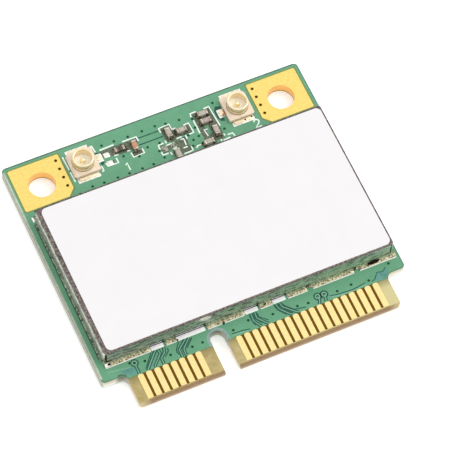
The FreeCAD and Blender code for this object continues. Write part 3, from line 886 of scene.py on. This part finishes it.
copper_edges = [
    [(-14.16, 4.11), (-13.32, 4.0), (-12.9, 3.94), (-12.59, 3.81), (-12.14, 3.82)],
    [(-2.4, 3.12), (-1.28, 3.06), (-0.7, 2.94)],
    [(7.4, 3.14), (8.08, 3.01), (8.63, 2.97), (9.62, 2.91), (10.94, 3.09)],
]

copper_gaps = [
    [(-9.81, 4.37), (-10.85, 3.12)],
    [(-8.27, 4.24), (-8.3, 3.95), (-8.8, 3.5)],
    [(-7.09, 4.42), (-7.57, 3.8), (-7.65, 3.51), (-7.57, 3.25)],
    [(-5.84, 4.33), (-6.67, 3.53)],
    [(-0.17, 4.3), (-0.17, 3.64), (-0.06, 3.22)],
    [(0.21, 4.27), (0.15, 3.83), (0.6, 3.18)],
    [(0.55, 4.29), (0.58, 3.86), (1.24, 3.25)],
    [(2.28, 4.35), (2.42, 3.83), (2.96, 3.1)],
    [(2.67, 4.35), (2.74, 3.94), (3.53, 3.11)],
    [(3.02, 4.29), (3.22, 3.91), (3.82, 3.32)],
    [(-2.39, 3.25), (-1.28, 3.19), (-0.67, 3.06)],
    [(3.81, 3.3), (4.41, 3.19), (4.91, 3.11)],
    [(7.37, 3.27), (8.08, 3.14), (8.63, 3.1), (9.62, 3.04), (10.94, 3.22)],
    [(11.5, 3.08), (11.87, 3.22), (12.34, 3.76), (12.9, 3.63), (13.25, 3.94)],
]

antenna_line_gaps = [
    [(-2.0, 25.0), (0.05, 25.0)],
    [(-2.2, 24.3), (0.2, 24.3)],
]

# A dark line painted as the shade at the foot of the can's left side.
can_side_shade_lines = [
    [(-14.33, 5.6), (-14.33, 20.3)],
]

copper_windows = [
    [(-13.07, 3.81), (-12.18, 3.74), (-11.56, 3.54), (-11.54, 3.08), (-12.14, 2.97), (-12.83, 3.43)],
    [(11.87, 3.22), (12.34, 3.76), (12.9, 3.63), (13.25, 3.94), (13.4, 3.6), (12.9, 2.95), (12.1, 2.92)],
]

# The windows round the chips carry dark patches painted as the chips' shade.
chip_windows = [
    [(-5.93, 25.07), (-2.21, 25.11), (-2.19, 24.59), (-3.11, 24.01), (-4.75, 24.13), (-5.78, 24.3)],
    [(-3.16, 23.81), (-2.2, 23.84), (-2.17, 23.41), (-3.13, 23.4)],
    [(-5.73, 23.8), (-5.0, 23.84), (-5.0, 23.42), (-5.68, 23.42)],
    [(0.22, 25.14), (1.17, 25.18), (1.2, 24.58), (2.88, 24.6), (2.92, 23.66), (1.3, 23.67), (0.95, 23.36),
     (0.3, 23.54)],
    [(-0.54, 23.5), (0.71, 23.3), (0.89, 22.74), (-0.52, 22.54)],
    [(1.06, 23.44), (2.1, 23.5), (2.1, 21.92), (0.31, 21.9), (0.47, 22.59)],
    [(3.58, 25.46), (5.36, 25.48), (5.5, 23.13), (5.44, 21.95), (3.62, 21.95)],
]

tab_windows = [
    [(-6.45, 25.1), (-5.95, 25.0), (-5.85, 23.9), (-6.2, 23.55)],
    [(6.45, 25.2), (5.95, 25.35), (5.66, 24.9), (5.66, 24.1), (5.9, 23.7), (6.2, 23.6)],
]

copper_islands = [
    [(4.19, 23.8), (4.52, 23.84), (4.58, 22.95), (4.2, 22.82)],
]


def lay_tracks():
    """Fine tracks from the can to the contacts, pale on their dark clearances, openings in the copper,
    painted shade round the chips, and a dark line painted as shade at the foot of the can's left side.
    """
    routes = all_from_edge(track_routes)
    lay_lacquer_patches([
        ("copper_windows", all_from_edge(copper_windows), copper_window_height, window_lacquer),
        ("chip_windows", all_from_edge(chip_windows), chip_window_height, flux_and_chip_shade_lacquer),
        ("tab_windows", all_from_edge(tab_windows), chip_window_height, clearance_and_shade_lacquer),
        ("copper_islands", all_from_edge(copper_islands), island_height, finishes["green_lacquer"]),
    ])
    lay_lacquer_lines([
        ("track_clearances", routes, gap_width, clearance_height, clearance_and_shade_lacquer),
        ("lacquered_tracks", routes, track_width, track_height, track_lacquer),
        ("copper_gaps", all_from_edge(copper_gaps), copper_gap_width, copper_gap_height, clearance_and_shade_lacquer),
        ("copper_edges", all_from_edge(copper_edges), copper_edge_width, copper_edge_height, track_lacquer),
        ("antenna_line_clearances", all_from_edge(antenna_line_gaps), antenna_gap_width, long_gap_height,
         clearance_and_shade_lacquer),
        ("can_side_painted_shade", all_from_edge(can_side_shade_lines), can_side_shade_width, long_gap_height, clearance_and_shade_lacquer),
    ])


# Plated through holes

via_places = from_edge(
    (-5.45, 25.58), (-4.21, 25.56), (-2.84, 25.52), (-4.02, 23.76), (-2.67, 23.2), (-1.4, 25.55),
    (-0.07, 25.58), (-1.59, 23.78), (-0.58, 22.18), (-1.8, 21.92), (-0.39, 23.78), (-0.74, 22.99),
    (2.29, 25.32), (0.95, 25.44), (2.65, 22.85), (3.27, 23.05), (2.37, 22.28), (2.4, 23.48),
    (3.31, 24.0), (3.45, 24.96), (5.9, 25.8), (5.8, 22.85), (-9.25, 21.65), (-7.9, 21.95),
    (-6.75, 21.9), (-5.4, 21.9), (-4.23, 21.9), (-2.92, 21.91), (-10.63, 3.85), (-8.28, 3.5),
    (-6.17, 3.48), (-5.15, 3.52), (-2.12, 3.55), (-0.46, 3.92), (-11.97, 4.18), (1.83, 3.62),
    (4.21, 3.49), (5.25, 3.38), (8.18, 3.44), (9.63, 3.55), (11.29, 3.3), (13.7, 4.17),
)
ring_via_places = from_edge((-11.57, 4.03), (6.31, 3.65), (6.95, 3.63))
via_radius = 0.13
via_rim = 0.04
ring_hole_radius = 0.14
ring_radius = 0.25
clearing_radius = 0.4
clearing_height = 0.004
pad_via_radius = 0.15
pad_via_rim = 0.05
via_edge = 0.012
under_seat = 0.0025
ring_seat = 0.003
upside_down = (math.pi, 0, 0)


def disc(radius, thickness, steps=20):
    """A thin disc with its lower face at the origin."""
    deselect()
    middle = (0, 0, thickness / 2)
    bpy.ops.mesh.primitive_cylinder_add(vertices=steps, radius=radius, depth=thickness, location=middle)
    set_place()
    return bpy.context.object


def model_via(radius, rim, rim_material, middle_material):
    """A low blister with a sunk middle, painted in two finishes."""
    via = disc(radius + rim, via_edge / 2)
    start_shaping()
    bpy.ops.mesh.select_all(action="DESELECT")
    done_shaping()
    top = max(via.data.polygons, key=lambda face: face.center.z)
    top.select = True
    start_shaping()
    bpy.ops.mesh.inset(thickness=rim * 0.5, depth=via_edge / 2)
    bpy.ops.mesh.inset(thickness=rim * 0.5, depth=-via_edge / 2)
    bpy.ops.mesh.inset(thickness=radius * 0.4, depth=-via_edge / 6)
    done_shaping()
    via.data.materials.append(rim_material)
    via.data.materials.append(middle_material)
    for face in via.data.polygons:
        if face.normal.z > 0.1 and Vector((face.center.x, face.center.y)).length < radius:
            face.material_index = 1
    return via


def on_both_faces(places, upper, lower):
    """Places on the upper face and the same ones turned over on the lower face."""
    spots = [(x, y, upper) for x, y in places] + [(x, y, lower) for x, y in places]
    turns = [(0, 0, 0)] * len(places) + [upside_down] * len(places)
    return spots, turns


def sink_vias():
    """Lacquered vias through the board and ringed vias in dark clearings near the contacts."""
    # The vias' dark middles are painted shade in the lacquer's dip.
    sunk = model_via(via_radius, via_rim, finishes["green_lacquer"], via_pool_and_painted_shade)
    spots, turns = on_both_faces(via_places, mask_level, mask_under + under_seat)
    finish_piece(repeat(sunk, "lacquered_vias", spots, turns), None)
    clearing = disc(clearing_radius, clearing_height, 24)
    round_edges(clearing, clearing_height / 2, 1)
    spots = [(x, y, mask_level) for x, y in ring_via_places]
    finish_piece(repeat(clearing, "via_clearings", spots), clearance_and_shade_lacquer)
    ringed = model_via(ring_hole_radius, ring_radius - ring_hole_radius, track_lacquer, via_pool_and_painted_shade)
    spots, turns = on_both_faces(ring_via_places, mask_level + ring_seat, mask_under + under_seat)
    finish_piece(repeat(ringed, "ringed_vias", spots, turns), None)


pad_via_column = 9.97
pad_via_last = 12.35
pad_via_step = 0.94
pad_via_count = 4


def open_pad_vias():
    """A column of small open holes along the inner side of each earth pad, on both faces of the board."""
    column = [pad_via_last - index * pad_via_step for index in range(pad_via_count)]
    places = [(side * pad_via_column, y) for side in (-1, 1) for y in column]
    opened = model_via(pad_via_radius, pad_via_rim, finishes["gold_plating"], deep_hole)
    spots, turns = on_both_faces(places, copper_level, copper_under + via_edge)
    finish_piece(repeat(opened, "earth_pad_vias", spots, turns), None)


lining_gap = 0.004
lining_thickness = 0.02


def line_screw_holes():
    """The gold plating on the wall of each screw hole."""
    linings = []
    for name in ("screw_hole_left", "screw_hole_right"):
        hole = mounts[name]
        deselect()
        bpy.ops.mesh.primitive_cylinder_add(
            vertices=64,
            radius=hole["dims"]["r_mm"] - lining_gap,
            depth=copper_level - copper_under,
            end_fill_type="NOTHING",
            location=Vector(hole["pos_m"]) / MM,
        )
        lining = bpy.context.object
        set_place()
        thickness = lining.modifiers.new("thickness", "SOLIDIFY")
        thickness.thickness = lining_thickness
        thickness.offset = -1
        bpy.ops.object.modifier_apply(modifier=thickness.name)
        linings.append(lining)
    finish_piece(join(linings, "screw_hole_linings"), hole_gold())


# Pits in the solder, each by its place across the card, its distance from the contact edge and its height
pit_radius = 0.09
pit_thickness = 0.02
pit_rounding = 0.006
pit_places = [
    (-13.78, 4.66, 1.2),
    (-13.7, 4.69, 1.21),
    (-13.76, 4.72, 1.22),
    (-13.78, 5.0, 1.3),
    (-7.12, 4.6, 1.02),
    (-2.65, 4.46, 1.05),
    (-2.6, 4.5, 1.08),
    (1.6, 4.75, 1.16),
    (-13.75, 21.28, 1.0),
    (-13.74, 21.56, 1.0),
    (6.75, 23.2, 1.05),
    (7.96, 22.93, 1.12),
    (8.65, 23.0, 1.12),
]
void_middle = (12.46, 4.77, 1.17)
void_lean = math.radians(27)
void_radius = 0.17
void_thickness = 0.03
void_rounding = 0.01
void_stretch = 3.6


def pit_solder():
    """Small black pin-holes in the solder and the ink, and one long void in the last strip, each a flat disc
    painted black as the shade inside it.
    """
    pit = disc(pit_radius, pit_thickness, 12)
    round_edges(pit, pit_rounding, 1)
    spots = [(x, contact_edge + y, z) for x, y, z in pit_places]
    pits = repeat(pit, "solder_pits", spots)
    void = disc(void_radius, void_thickness, 24)
    round_edges(void, void_rounding, 1)
    void.scale = (void_stretch, 1, 1)
    void.rotation_euler.x = void_lean
    void.location = (void_middle[0], contact_edge + void_middle[1], void_middle[2])
    choose(void)
    set_place()
    finish_piece(join([pits, void], "solder_pits"), black_pit_and_notch_shade)


# Solder and chips


def overlap(first, second):
    """Whether two boxes share ground."""
    return all(first[0][axis] < second[1][axis] and second[0][axis] < first[1][axis] for axis in (0, 1))


# Steps up a mound of solder: the share of its height, and how far it has drawn in by then
mound_steps = ((0.25, 0.1), (0.2, 0.55), (0.3, 0.85), (0.25, 1.0))
mound_sink = 0.01
mound_rounding = 0.08


def mound(land, top_low, top_high, height):
    """Solder on one land: it starts from the land's outline and draws in as it rises to a smaller top."""
    low, high = land
    start = Vector((high.x - low.x, high.y - low.y))
    end = Vector((top_high.x - top_low.x, top_high.y - top_low.y))
    shift = ((top_low + top_high) - (low + high)) / 2
    deselect()
    middle = Vector(((low.x + high.x) / 2, (low.y + high.y) / 2, high.z - mound_sink))
    bpy.ops.mesh.primitive_plane_add(size=1, location=middle)
    piece = bpy.context.object
    piece.scale = (start.x, start.y, 1)
    set_place()
    shape_all()
    size = start.copy()
    for rise, drawn_in in mound_steps:
        wanted = start.lerp(end, drawn_in)
        bpy.ops.mesh.extrude_region_move(TRANSFORM_OT_translate={"value": (0, 0, rise * height)})
        bpy.ops.transform.resize(value=(wanted.x / size.x, wanted.y / size.y, 1), center_override=middle)
        size = wanted
    bpy.ops.transform.translate(value=(shift.x, shift.y, 0))
    done_shaping()
    round_edges(piece, min(start) * mound_rounding)
    return piece


receptacle_nodes = ["antenna_1_base", "antenna_1_shell", "antenna_2_base", "antenna_2_shell"]
receptacle_solder = 0.03
bare_land_solder = 0.05
pillow_inset = 0.16
chip_solder_rim = Vector((0.02, 0.02, 0))
chip_solder_rise = 0.6
middle_network_end = 2.0


def solder_lands():
    """Solder drawn up round each chip's ends, and low pillows on the bare and receptacle lands. Flux stains
    the pillows in the middle network."""
    receptacle_boxes = [box_mm(node) for node in receptacle_nodes]
    mounds = []
    pillows = []
    stained = []
    for land in lands:
        caps = [cap for cap in end_caps if overlap(cap, land)]
        low, high = land
        if caps:
            cap_low, cap_high = caps[0]
            height = chip_solder_rise * (cap_high.z - cap_low.z)
            mounds.append(mound(land, cap_low - chip_solder_rim, cap_high + chip_solder_rim, height))
            continue
        inset = (high - low) * pillow_inset
        under_receptacle = any(overlap(land, corners) for corners in receptacle_boxes)
        height = receptacle_solder if under_receptacle else bare_land_solder
        pillow = mound(land, low + inset, high - inset, height)
        (stained if abs(low.x) < middle_network_end else pillows).append(pillow)
    finish_piece(join(pillows, "land_solder"), finishes["tinned_copper"])
    # The chip mounds are painted dark brown partly as burnt flux and partly as the chips' shade.
    finish_piece(join(mounds, "chip_solder"), burnt_flux_and_chip_shade_solder)
    finish_piece(join(stained, "stained_land_solder"), dull_solder)


chip_slots = ("resistor_glaze", "tan_ceramic", "grey_ceramic")
chip_rounding = 0.035
chip_end_rounding = 0.05


def dress_chips():
    """Chip bodies with worn corners between rounded, plated ends."""
    for part in frame["record"]["subparts"]:
        node = part["node"]
        slot = part["material_slot"]
        if not node.startswith("antenna_") or slot not in chip_slots:
            continue
        body = add_block(node + "_body", *box_mm(node))
        round_edges(body, chip_rounding)
        finish = pink_ceramic if node.endswith("inductor") else finishes[slot]
        finish_piece(body, finish, [node])
    ends = []
    for low, high in end_caps:
        end = add_block("end", low, high)
        round_edges(end, chip_end_rounding, 3)
        ends.append(end)
    finish_piece(join(ends, "plated_chip_ends"), dull_tin, ["chip_end_caps"])


toe_height = 0.03
toe_lumps = 0.04
toe_swell = 0.08
least_dip = 0.2
most_dip = 0.6
strip_rounding = 0.02
tinned_corner_height = 0.02
tinned_corner = from_edge((-14.35, 21.07), (-14.01, 21.07), (-13.99, 20.88), (-14.32, 20.48))
lump_length = 0.24
land_edge_width = 0.11
land_edge_height = 0.03
land_edge_end = 0.04
land_edge_reach = 0.02
strip_end_front = 0.07
strip_end_back = 0.2
strip_end_thickness = 0.03
strip_end_inset = 0.02
strip_end_length = 0.48
strip_end_back_length = 0.4
strip_end_wall_gap = 0.14
strip_end_rounding = 0.01
bridge_width = 0.24
bridge_height = 0.09
bridge_overlap = 0.03
bridge_sink = 0.01
bridge_under_wall = 0.02
bridge_rounding = 0.04


def solder_strip(low, high):
    """One run of solder along the can's foot: high at the wall, low at its toe and lumpy along its length."""
    lengthwise = 0 if high.x - low.x > high.y - low.y else 1
    across = 1 - lengthwise
    wall_is_high = abs(high[across] - can_low[across]) < abs(low[across] - can_high[across])
    toe = low[across] if wall_is_high else high[across]
    strip = add_block("strip", low, high)
    start_shaping()
    direction = [0, 0, 0]
    direction[lengthwise] = 1
    count = max(2, round((high[lengthwise] - low[lengthwise]) / lump_length))
    for index in range(1, count):
        cut = list(low)
        cut[lengthwise] += (high[lengthwise] - low[lengthwise]) * index / count
        bpy.ops.mesh.select_all(action="SELECT")
        bpy.ops.mesh.bisect(plane_co=cut, plane_no=direction, threshold=1e-5)
    done_shaping()
    outward = -1 if wall_is_high else 1
    swell = (high[across] - low[across]) * toe_swell
    for vertex in strip.data.vertices:
        at_toe = abs(vertex.co[across] - toe) < same_place
        on_top = abs(vertex.co.z - high.z) < same_place
        if on_top and at_toe:
            vertex.co.z = low.z + toe_height + chance.uniform(0.0, toe_lumps)
            vertex.co[across] -= outward * chance.uniform(0.0, swell)
        elif on_top:
            vertex.co.z -= chance.uniform(least_dip, most_dip) * (high.z - low.z)
    round_edges(strip, strip_rounding)
    return strip


def flux_bridges():
    """Burnt flux in the short gaps between the front strips, along the wall."""
    bridges = []
    for before, after in front_gaps(wide=False):
        low = (before[1].x - bridge_overlap, can_low.y - bridge_width, mask_level - bridge_sink)
        high = (after[0].x + bridge_overlap, can_low.y + bridge_under_wall, mask_level + bridge_height)
        bridge = add_block("bridge", low, high)
        round_edges(bridge, bridge_rounding)
        bridges.append(bridge)
    finish_piece(join(bridges, "flux_bridges"), burnt_flux_and_chip_shade_solder)


def tinned_strip_end():
    """A bright slope of tin over the left end of the front solder."""
    left, toe = front_strips[0][0].xy
    front = copper_level + strip_end_front
    wall = can_low.y - strip_end_wall_gap
    back = copper_level + strip_end_back
    slope = [
        (left + strip_end_inset, toe + strip_end_inset, front),
        (left + strip_end_length, toe + strip_end_inset, front),
        (left + strip_end_back_length, wall, back),
        (left + strip_end_inset, wall, back),
    ]
    end = add_prism("tinned_strip_end", slope, (0, 0, strip_end_thickness))
    round_edges(end, strip_end_rounding)
    finish_piece(end, land_tin)


def solder_foot():
    """Solder round the can's foot, with bright tin along the front lands and at two corners on the left."""
    front = [solder_strip(low, high) for low, high in front_strips]
    finish_piece(join(front, "front_solder"), front_solder(), ["shield_solder"])
    others = [solder_strip(low, high) for low, high in foot_solder if (low, high) not in front_strips]
    finish_piece(join(others, "side_solder"), dull_solder)
    edges = []
    for low, high in front_strips:
        toe = low.y - land_edge_reach
        edges.append([(low.x + land_edge_end, toe), (high.x - land_edge_end, toe)])
    line = draw_lines("tinned_land_edges", edges, land_edge_width, land_edge_height, copper_level)
    finish_piece(line, land_tin)
    corner = lay_patches("tinned_land_corner", [tinned_corner], mask_level, tinned_corner_height)
    finish_piece(corner, finishes["tinned_copper"])
    tinned_strip_end()


# Coaxial receptacles, measured from the middle of each at the level of the board

half_base = 1.3
base_top = 0.4
base_chamfer = 0.2
foot_half_width = 0.9
foot_end = 1.65
strip_thickness = 0.12
tab_half_width = 0.25
base_rounding = 0.035
foot_rounding = 0.03
tab_rounding = 0.02
seam_width = 0.07
seam_height = 0.02
seam_inset = 0.05

barrel_section = [
    (0.84, 0.38), (1.02, 0.38), (1.0, 0.42), (1.0, 0.68), (0.95, 0.8), (1.0, 0.92), (1.0, 1.19), (0.98, 1.23),
    (0.93, 1.25), (0.89, 1.25), (0.85, 1.23), (0.84, 1.19), (0.84, 0.38),
]
groove_shade = [(0.94, 0.77), (0.97, 0.77), (0.962, 0.8), (0.97, 0.83), (0.94, 0.83), (0.94, 0.77)]
barrel_foot_shade = [(0.98, 0.39), (1.05, 0.39), (1.04, 0.41), (1.01, 0.44), (0.98, 0.44), (0.98, 0.39)]
floor_section = [(0.26, 0.39), (0.26, 0.415), (0.8, 0.415), (0.83, 0.4), (0.83, 0.39), (0.26, 0.39)]
pin_section = [(0.0, 0.38), (0.27, 0.38), (0.25, 0.55), (0.24, 0.8), (0.21, 0.89), (0.14, 0.94), (0.0, 0.95)]
tab_section = [
    (1.25, 0.13), (1.3, 0.13), (1.43, 0.0), (1.8, 0.0), (1.8, 0.12), (1.49, 0.12), (1.36, 0.25), (1.25, 0.25),
]


def moulded_base():
    """Cream block clipped at the two corners away from the tab."""
    base = add_block("base", (-half_base, -half_base, 0), (half_base, half_base, base_top))
    start_shaping()
    bpy.ops.mesh.select_all(action="DESELECT")
    done_shaping()
    points = base.data.vertices
    for edge in base.data.edges:
        ends = [points[index].co for index in edge.vertices]
        edge.select = all(end.x < 0 for end in ends) and abs(ends[0].z - ends[1].z) > base_top / 2
    start_shaping()
    bpy.ops.mesh.select_mode(type="EDGE")
    bpy.ops.mesh.bevel(offset=base_chamfer, segments=1)
    bpy.ops.mesh.select_mode(type="VERT")
    done_shaping()
    round_edges(base, base_rounding)
    return base


def gilt_barrel():
    """Turned barrel with its snap groove and rolled rim, and the two flat feet."""
    pieces = [turn_round("barrel", barrel_section)]
    for side in (-1, 1):
        inner, outer = sorted((side * (half_base - foot_rounding), side * foot_end))
        foot = add_block("foot", (-foot_half_width, inner, 0.0), (foot_half_width, outer, strip_thickness))
        round_edges(foot, foot_rounding)
        pieces.append(foot)
    return join(pieces, "barrel")


def barrel_floor():
    """The moulding's raised floor round the pin, inside the barrel."""
    return turn_round("floor", floor_section)


def centre_pin():
    """Domed pin in the middle of the barrel."""
    return turn_round("pin", pin_section, 32)


def pin_tab():
    """The pin's tab, which steps down from the base to the board."""
    tab = add_prism("tab", [(x, -tab_half_width, z) for x, z in tab_section], (0, 2 * tab_half_width, 0))
    round_edges(tab, tab_rounding)
    return tab


def seam_shade():
    """Brown painted shade, with flux, in the seams where the feet and the tab leave the base, round the
    barrel's foot and in its groove.
    """
    half_foot = foot_half_width - seam_inset
    seams = [[(-half_foot, side * half_base), (half_foot, side * half_base)] for side in (-1, 1)]
    across_feet = draw_lines("seams", seams, seam_width, seam_height, strip_thickness)
    tab_seam = [(half_base, -tab_half_width), (half_base, tab_half_width)]
    across_tab = draw_lines("seams", [tab_seam], seam_width, seam_height, tab_section[-1][1])
    in_groove = turn_round("seams", groove_shade)
    round_foot = turn_round("seams", barrel_foot_shade)
    return join([across_feet, across_tab, in_groove, round_foot], "seams")


def dress_receptacles():
    """Both receptacles, with their tabs towards each other."""
    parts = [
        ("moulding", moulded_base, "moulded_base", finishes["moulded_base"], ["base"]),
        ("barrel", gilt_barrel, "gilt_shell", finishes["gilt_shell"], ["shell"]),
        # The barrel's floor is painted white as light, paler than the cream moulding.
        ("floor", barrel_floor, "moulded_base", barrel_floor_painted_light, []),
        ("pin", centre_pin, "gilt_pin", finishes["gilt_pin"], ["centre_contact"]),
        ("tab", pin_tab, "gilt_pin", finishes["gilt_shell"], []),
        ("seams", seam_shade, "moulded_base", seam_shade_and_flux, []),
    ]
    for number, heading in ((1, 0.0), (2, math.pi)):
        name = "antenna_%d_" % number
        middle = Vector(mounts[name + "plug"]["pos_m"]) / MM
        for part, model, slot, finish, replaced in parts:
            piece = model()
            piece.name = name + part
            piece.rotation_euler.z = heading
            piece.location = (middle.x, middle.y, copper_level)
            choose(piece)
            set_place()
            finish_piece(piece, finish, [name + node for node in replaced])


stain_width = 0.14
stain_height = 0.04
stain_sink = 0.03
stain_near = 0.06
stain_far = 0.14


def stain_second_tab():
    """Burnt flux across the second receptacle's tab and along its front side."""
    middle = Vector(mounts["antenna_2_plug"]["pos_m"]) / MM
    near = middle.x - tab_section[1][0] - stain_near
    far = middle.x - tab_section[2][0] - stain_far
    strokes = [
        [(near, middle.y - tab_half_width), (near, middle.y + tab_half_width)],
        [(near, middle.y - tab_half_width), (far, middle.y - tab_half_width)],
    ]
    level = copper_level + tab_section[-1][1] - stain_sink
    stain = draw_lines("antenna_2_tab_flux", strokes, stain_width, stain_height, level)
    finish_piece(stain, burnt_flux)


# Stage, light and camera

camera_place = Vector((-61.911, -109.894, 235.967))
camera_aim = Vector((2.043, -1.128, 1.0))
camera_roll = math.radians(6.67)
camera_lens = 224.2
camera_sensor = 36.0
camera_near_clip = 0.01
table_size = 3
table_level = -0.0001
table_glow = 0.3
softbox_place = (1.0, -0.2, 1.1)
softbox_size = 0.84
softbox_power = 6.8
dome_horizon = 0.35
dome_top = 1.1
dome_rise = 0.6


def add_camera():
    bpy.ops.object.camera_add(location=camera_place * MM)
    camera = bpy.context.object
    facing = (camera_aim - camera_place).to_track_quat("-Z", "Y")
    camera.rotation_euler = (facing @ Quaternion((0, 0, 1), camera_roll)).to_euler()
    camera.data.lens = camera_lens
    camera.data.sensor_width = camera_sensor
    camera.data.clip_start = camera_near_clip
    bpy.context.scene.camera = camera


def add_softbox():
    bpy.ops.object.light_add(type="AREA", location=softbox_place)
    softbox = bpy.context.object
    softbox.name = "side_softbox"
    softbox.data.shape = "SQUARE"
    softbox.data.size = softbox_size
    softbox.data.energy = softbox_power
    softbox.rotation_euler = (-Vector(softbox_place)).to_track_quat("-Z", "Y").to_euler()


def add_studio():
    """A pale dome, bright overhead and dim towards the horizon, so that bent metal shows dark lines."""
    world = bpy.data.worlds.new("studio")
    world.use_nodes = True
    tree = world.node_tree
    height = axes_of(tree, "Generated")["Z"]
    glow = add(tree, "MapRange", over(height, 0.0, dome_rise, dome_horizon, dome_top))
    feed(tree.nodes["Background"], {"Color": "#FFFFFF", "Strength": glow})
    bpy.context.scene.world = world
    bpy.context.scene.view_settings.view_transform = "Standard"


def white_table():
    """White acrylic with a faint glow, which keeps the shadows pale."""
    table = mottled("glowing_white_acrylic", "#F8F8F8", "#FCFCFC", 60.0, 0.7)
    shader = table.node_tree.nodes["Principled BSDF"]
    feed(shader, {"Emission Color": "#FFFFFF", "Emission Strength": table_glow})
    return table


def add_stage():
    """A plain white table, with one softbox to the right of the card."""
    deselect()
    bpy.ops.mesh.primitive_plane_add(size=table_size, location=(0, 0, table_level))
    floor = bpy.context.object
    floor.name = "table"
    floor.data.materials.append(white_table())
    add_softbox()


paint_nodes()
print_marks()
print_blocks()
edge_lacquer()
lay_tracks()
sink_vias()
open_pad_vias()
line_screw_holes()
pit_solder()
solder_lands()
dress_chips()
solder_foot()
flux_bridges()
dress_receptacles()
stain_second_tab()
add_studio()
add_stage()
add_camera()
